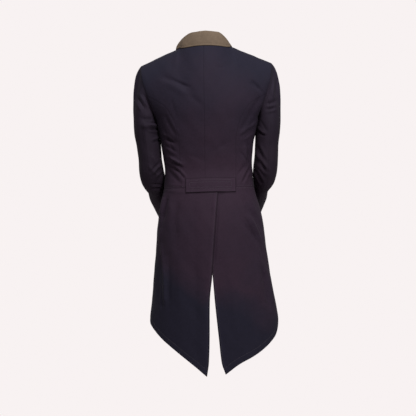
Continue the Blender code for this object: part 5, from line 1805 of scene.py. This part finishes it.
class TailcoatColours(bpy.types.PropertyGroup):
    """Colours of the cloth, collar, lining, thread and buttons."""

    # Plum round the waist and navy at the shoulders and hem: a painted light cast, in part the cloth's own
    # tone
    plum: bpy.props.FloatVectorProperty(
        name="Plum", description="Cloth round the waist", default=(0.0430, 0.0248, 0.0420), **COLOUR
    )
    navy: bpy.props.FloatVectorProperty(
        name="Navy", description="Cloth at shoulders and hem", default=(0.0210, 0.0192, 0.0350), **COLOUR
    )
    # Sleeve: lighter than the navy, a painted light on the upper sleeves
    sleeve: bpy.props.FloatVectorProperty(
        name="Sleeve", description="Cloth of the sleeves", default=(0.0300, 0.0238, 0.0405), **COLOUR
    )
    lining: bpy.props.FloatVectorProperty(
        name="Lining", description="Inner face of the cloth", default=(0.0200, 0.0160, 0.0240), **COLOUR
    )
    collar: bpy.props.FloatVectorProperty(
        name="Collar", description="Contrast collar", default=(0.2170, 0.1590, 0.1130), **COLOUR
    )
    thread: bpy.props.FloatVectorProperty(
        name="Thread", description="Stitching of the coat", default=(0.0950, 0.0780, 0.1000), **COLOUR
    )
    button: bpy.props.FloatVectorProperty(
        name="Button", description="Front buttons", default=(0.0200, 0.0180, 0.0260), **COLOUR
    )


class TailcoatStage(bpy.types.PropertyGroup):
    """Floor, backdrop and lights."""

    floor_radius: bpy.props.FloatProperty(
        name="Floor Radius",
        description="Radius of the round floor",
        default=1.6,
        min=0.5,
        unit="LENGTH",
    )
    floor_height: bpy.props.FloatProperty(
        name="Floor Height",
        description="Height of the floor against the neck",
        default=-1.54,
        unit="LENGTH",
    )
    backdrop: bpy.props.FloatVectorProperty(
        name="Backdrop", description="Colour behind the coat", default=(0.939, 0.887, 0.887), **COLOUR
    )
    world_light: bpy.props.FloatProperty(
        name="World Light",
        description="Strength of the backdrop's light on the coat",
        default=0.25,
        min=0.0,
    )
    key_power: bpy.props.FloatProperty(
        name="Key Power", description="Large light behind the coat", default=25.0, unit="POWER"
    )
    top_power: bpy.props.FloatProperty(
        name="Top Power", description="Light from above", default=20.0, unit="POWER"
    )
    front_power: bpy.props.FloatProperty(
        name="Front Power", description="Light on the front", default=26.0, unit="POWER"
    )


def ready(context):
    """The sizes for an operator's pieces, once the materials are there."""
    add_materials(context.scene.tailcoat_colours)
    return context.scene.tailcoat_sizes


class TAILCOAT_OT_backs(bpy.types.Operator):
    """Add the two centre backs"""

    bl_idname = "tailcoat.backs"
    bl_label = "Centre Backs"
    bl_options = {"REGISTER", "UNDO"}

    def execute(self, context):
        sizes = ready(context)
        for side, word in SIDES:
            make_back(side, word, sizes)
        return {"FINISHED"}


class TAILCOAT_OT_side_bodies(bpy.types.Operator):
    """Add the two side panels"""

    bl_idname = "tailcoat.side_bodies"
    bl_label = "Side Panels"
    bl_options = {"REGISTER", "UNDO"}

    def execute(self, context):
        sizes = ready(context)
        for side, word in SIDES:
            make_side_body(side, word, sizes)
        return {"FINISHED"}


class TAILCOAT_OT_fronts(bpy.types.Operator):
    """Add the two fronts and their lapels"""

    bl_idname = "tailcoat.fronts"
    bl_label = "Fronts and Lapels"
    bl_options = {"REGISTER", "UNDO"}

    def execute(self, context):
        sizes = ready(context)
        for side, word in SIDES:
            make_front(side, word, sizes)
            make_lapel(side, word, sizes)
        return {"FINISHED"}


class TAILCOAT_OT_sleeves(bpy.types.Operator):
    """Add the two-piece sleeves"""

    bl_idname = "tailcoat.sleeves"
    bl_label = "Sleeves"
    bl_options = {"REGISTER", "UNDO"}

    def execute(self, context):
        sizes = ready(context)
        for side, word in SIDES:
            make_sleeve(side, word, sizes)
        return {"FINISHED"}


class TAILCOAT_OT_tails(bpy.types.Operator):
    """Add the two tails, the left one lapped over the right"""

    bl_idname = "tailcoat.tails"
    bl_label = "Tails"
    bl_options = {"REGISTER", "UNDO"}

    def execute(self, context):
        sizes = ready(context)
        for side, word in SIDES:
            make_tail(side, word, sizes)
        return {"FINISHED"}


class TAILCOAT_OT_collar(bpy.types.Operator):
    """Add the fall collar"""

    bl_idname = "tailcoat.collar"
    bl_label = "Collar"
    bl_options = {"REGISTER", "UNDO"}

    def execute(self, context):
        make_collar(ready(context))
        return {"FINISHED"}


class TAILCOAT_OT_belt(bpy.types.Operator):
    """Add the back belt"""

    bl_idname = "tailcoat.belt"
    bl_label = "Back Belt"
    bl_options = {"REGISTER", "UNDO"}

    def execute(self, context):
        make_belt(ready(context))
        return {"FINISHED"}


class TAILCOAT_OT_buttons(bpy.types.Operator):
    """Add the front buttons"""

    bl_idname = "tailcoat.buttons"
    bl_label = "Front Buttons"
    bl_options = {"REGISTER", "UNDO"}

    def execute(self, context):
        ready(context)
        for number, height in enumerate(BUTTON_HEIGHTS, 1):
            make_button(number, height)
        return {"FINISHED"}


class TAILCOAT_OT_stage(bpy.types.Operator):
    """Add the floor, backdrop, lights and camera"""

    bl_idname = "tailcoat.stage"
    bl_label = "Stage"
    bl_options = {"REGISTER", "UNDO"}

    def execute(self, context):
        stage = context.scene.tailcoat_stage
        add_world(stage)
        add_floor(stage)
        powers = (stage.key_power, stage.top_power, stage.front_power)
        for (name, place, size), power in zip(SOFTBOXES, powers):
            add_softbox(name, place, size, power)
        add_camera()
        return {"FINISHED"}


OPERATORS = (
    TAILCOAT_OT_backs,
    TAILCOAT_OT_side_bodies,
    TAILCOAT_OT_fronts,
    TAILCOAT_OT_sleeves,
    TAILCOAT_OT_tails,
    TAILCOAT_OT_collar,
    TAILCOAT_OT_belt,
    TAILCOAT_OT_buttons,
    TAILCOAT_OT_stage,
)


class TAILCOAT_PT_panel(bpy.types.Panel):
    """Lists the coat's sizes, colours and pieces"""

    bl_label = "Dressage Tailcoat"
    bl_idname = "TAILCOAT_PT_panel"
    bl_space_type = "VIEW_3D"
    bl_region_type = "UI"
    bl_category = "Tailcoat"

    def draw(self, context):
        scene = context.scene
        for group in (scene.tailcoat_sizes, scene.tailcoat_colours, scene.tailcoat_stage):
            box = self.layout.box()
            for word in group.bl_rna.properties.keys():
                if word not in ("rna_type", "name"):
                    box.prop(group, word)
        for operator in OPERATORS:
            self.layout.operator(operator.bl_idname)


CLASSES = (TailcoatSizes, TailcoatColours, TailcoatStage) + OPERATORS + (TAILCOAT_PT_panel,)


def register():
    """Registers the classes and gives the scene its three property groups."""
    for made in CLASSES:
        bpy.utils.register_class(made)
    bpy.types.Scene.tailcoat_sizes = bpy.props.PointerProperty(type=TailcoatSizes)
    bpy.types.Scene.tailcoat_colours = bpy.props.PointerProperty(type=TailcoatColours)
    bpy.types.Scene.tailcoat_stage = bpy.props.PointerProperty(type=TailcoatStage)


def unregister():
    """Takes back what register added."""
    del bpy.types.Scene.tailcoat_stage
    del bpy.types.Scene.tailcoat_colours
    del bpy.types.Scene.tailcoat_sizes
    for made in reversed(CLASSES):
        bpy.utils.unregister_class(made)


def main():
    """Adds every piece and the stage."""
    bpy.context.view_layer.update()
    register()
    for operator in OPERATORS:
        group, word = operator.bl_idname.split(".")
        getattr(getattr(bpy.ops, group), word)()


if __name__ == "__main__":
    main()
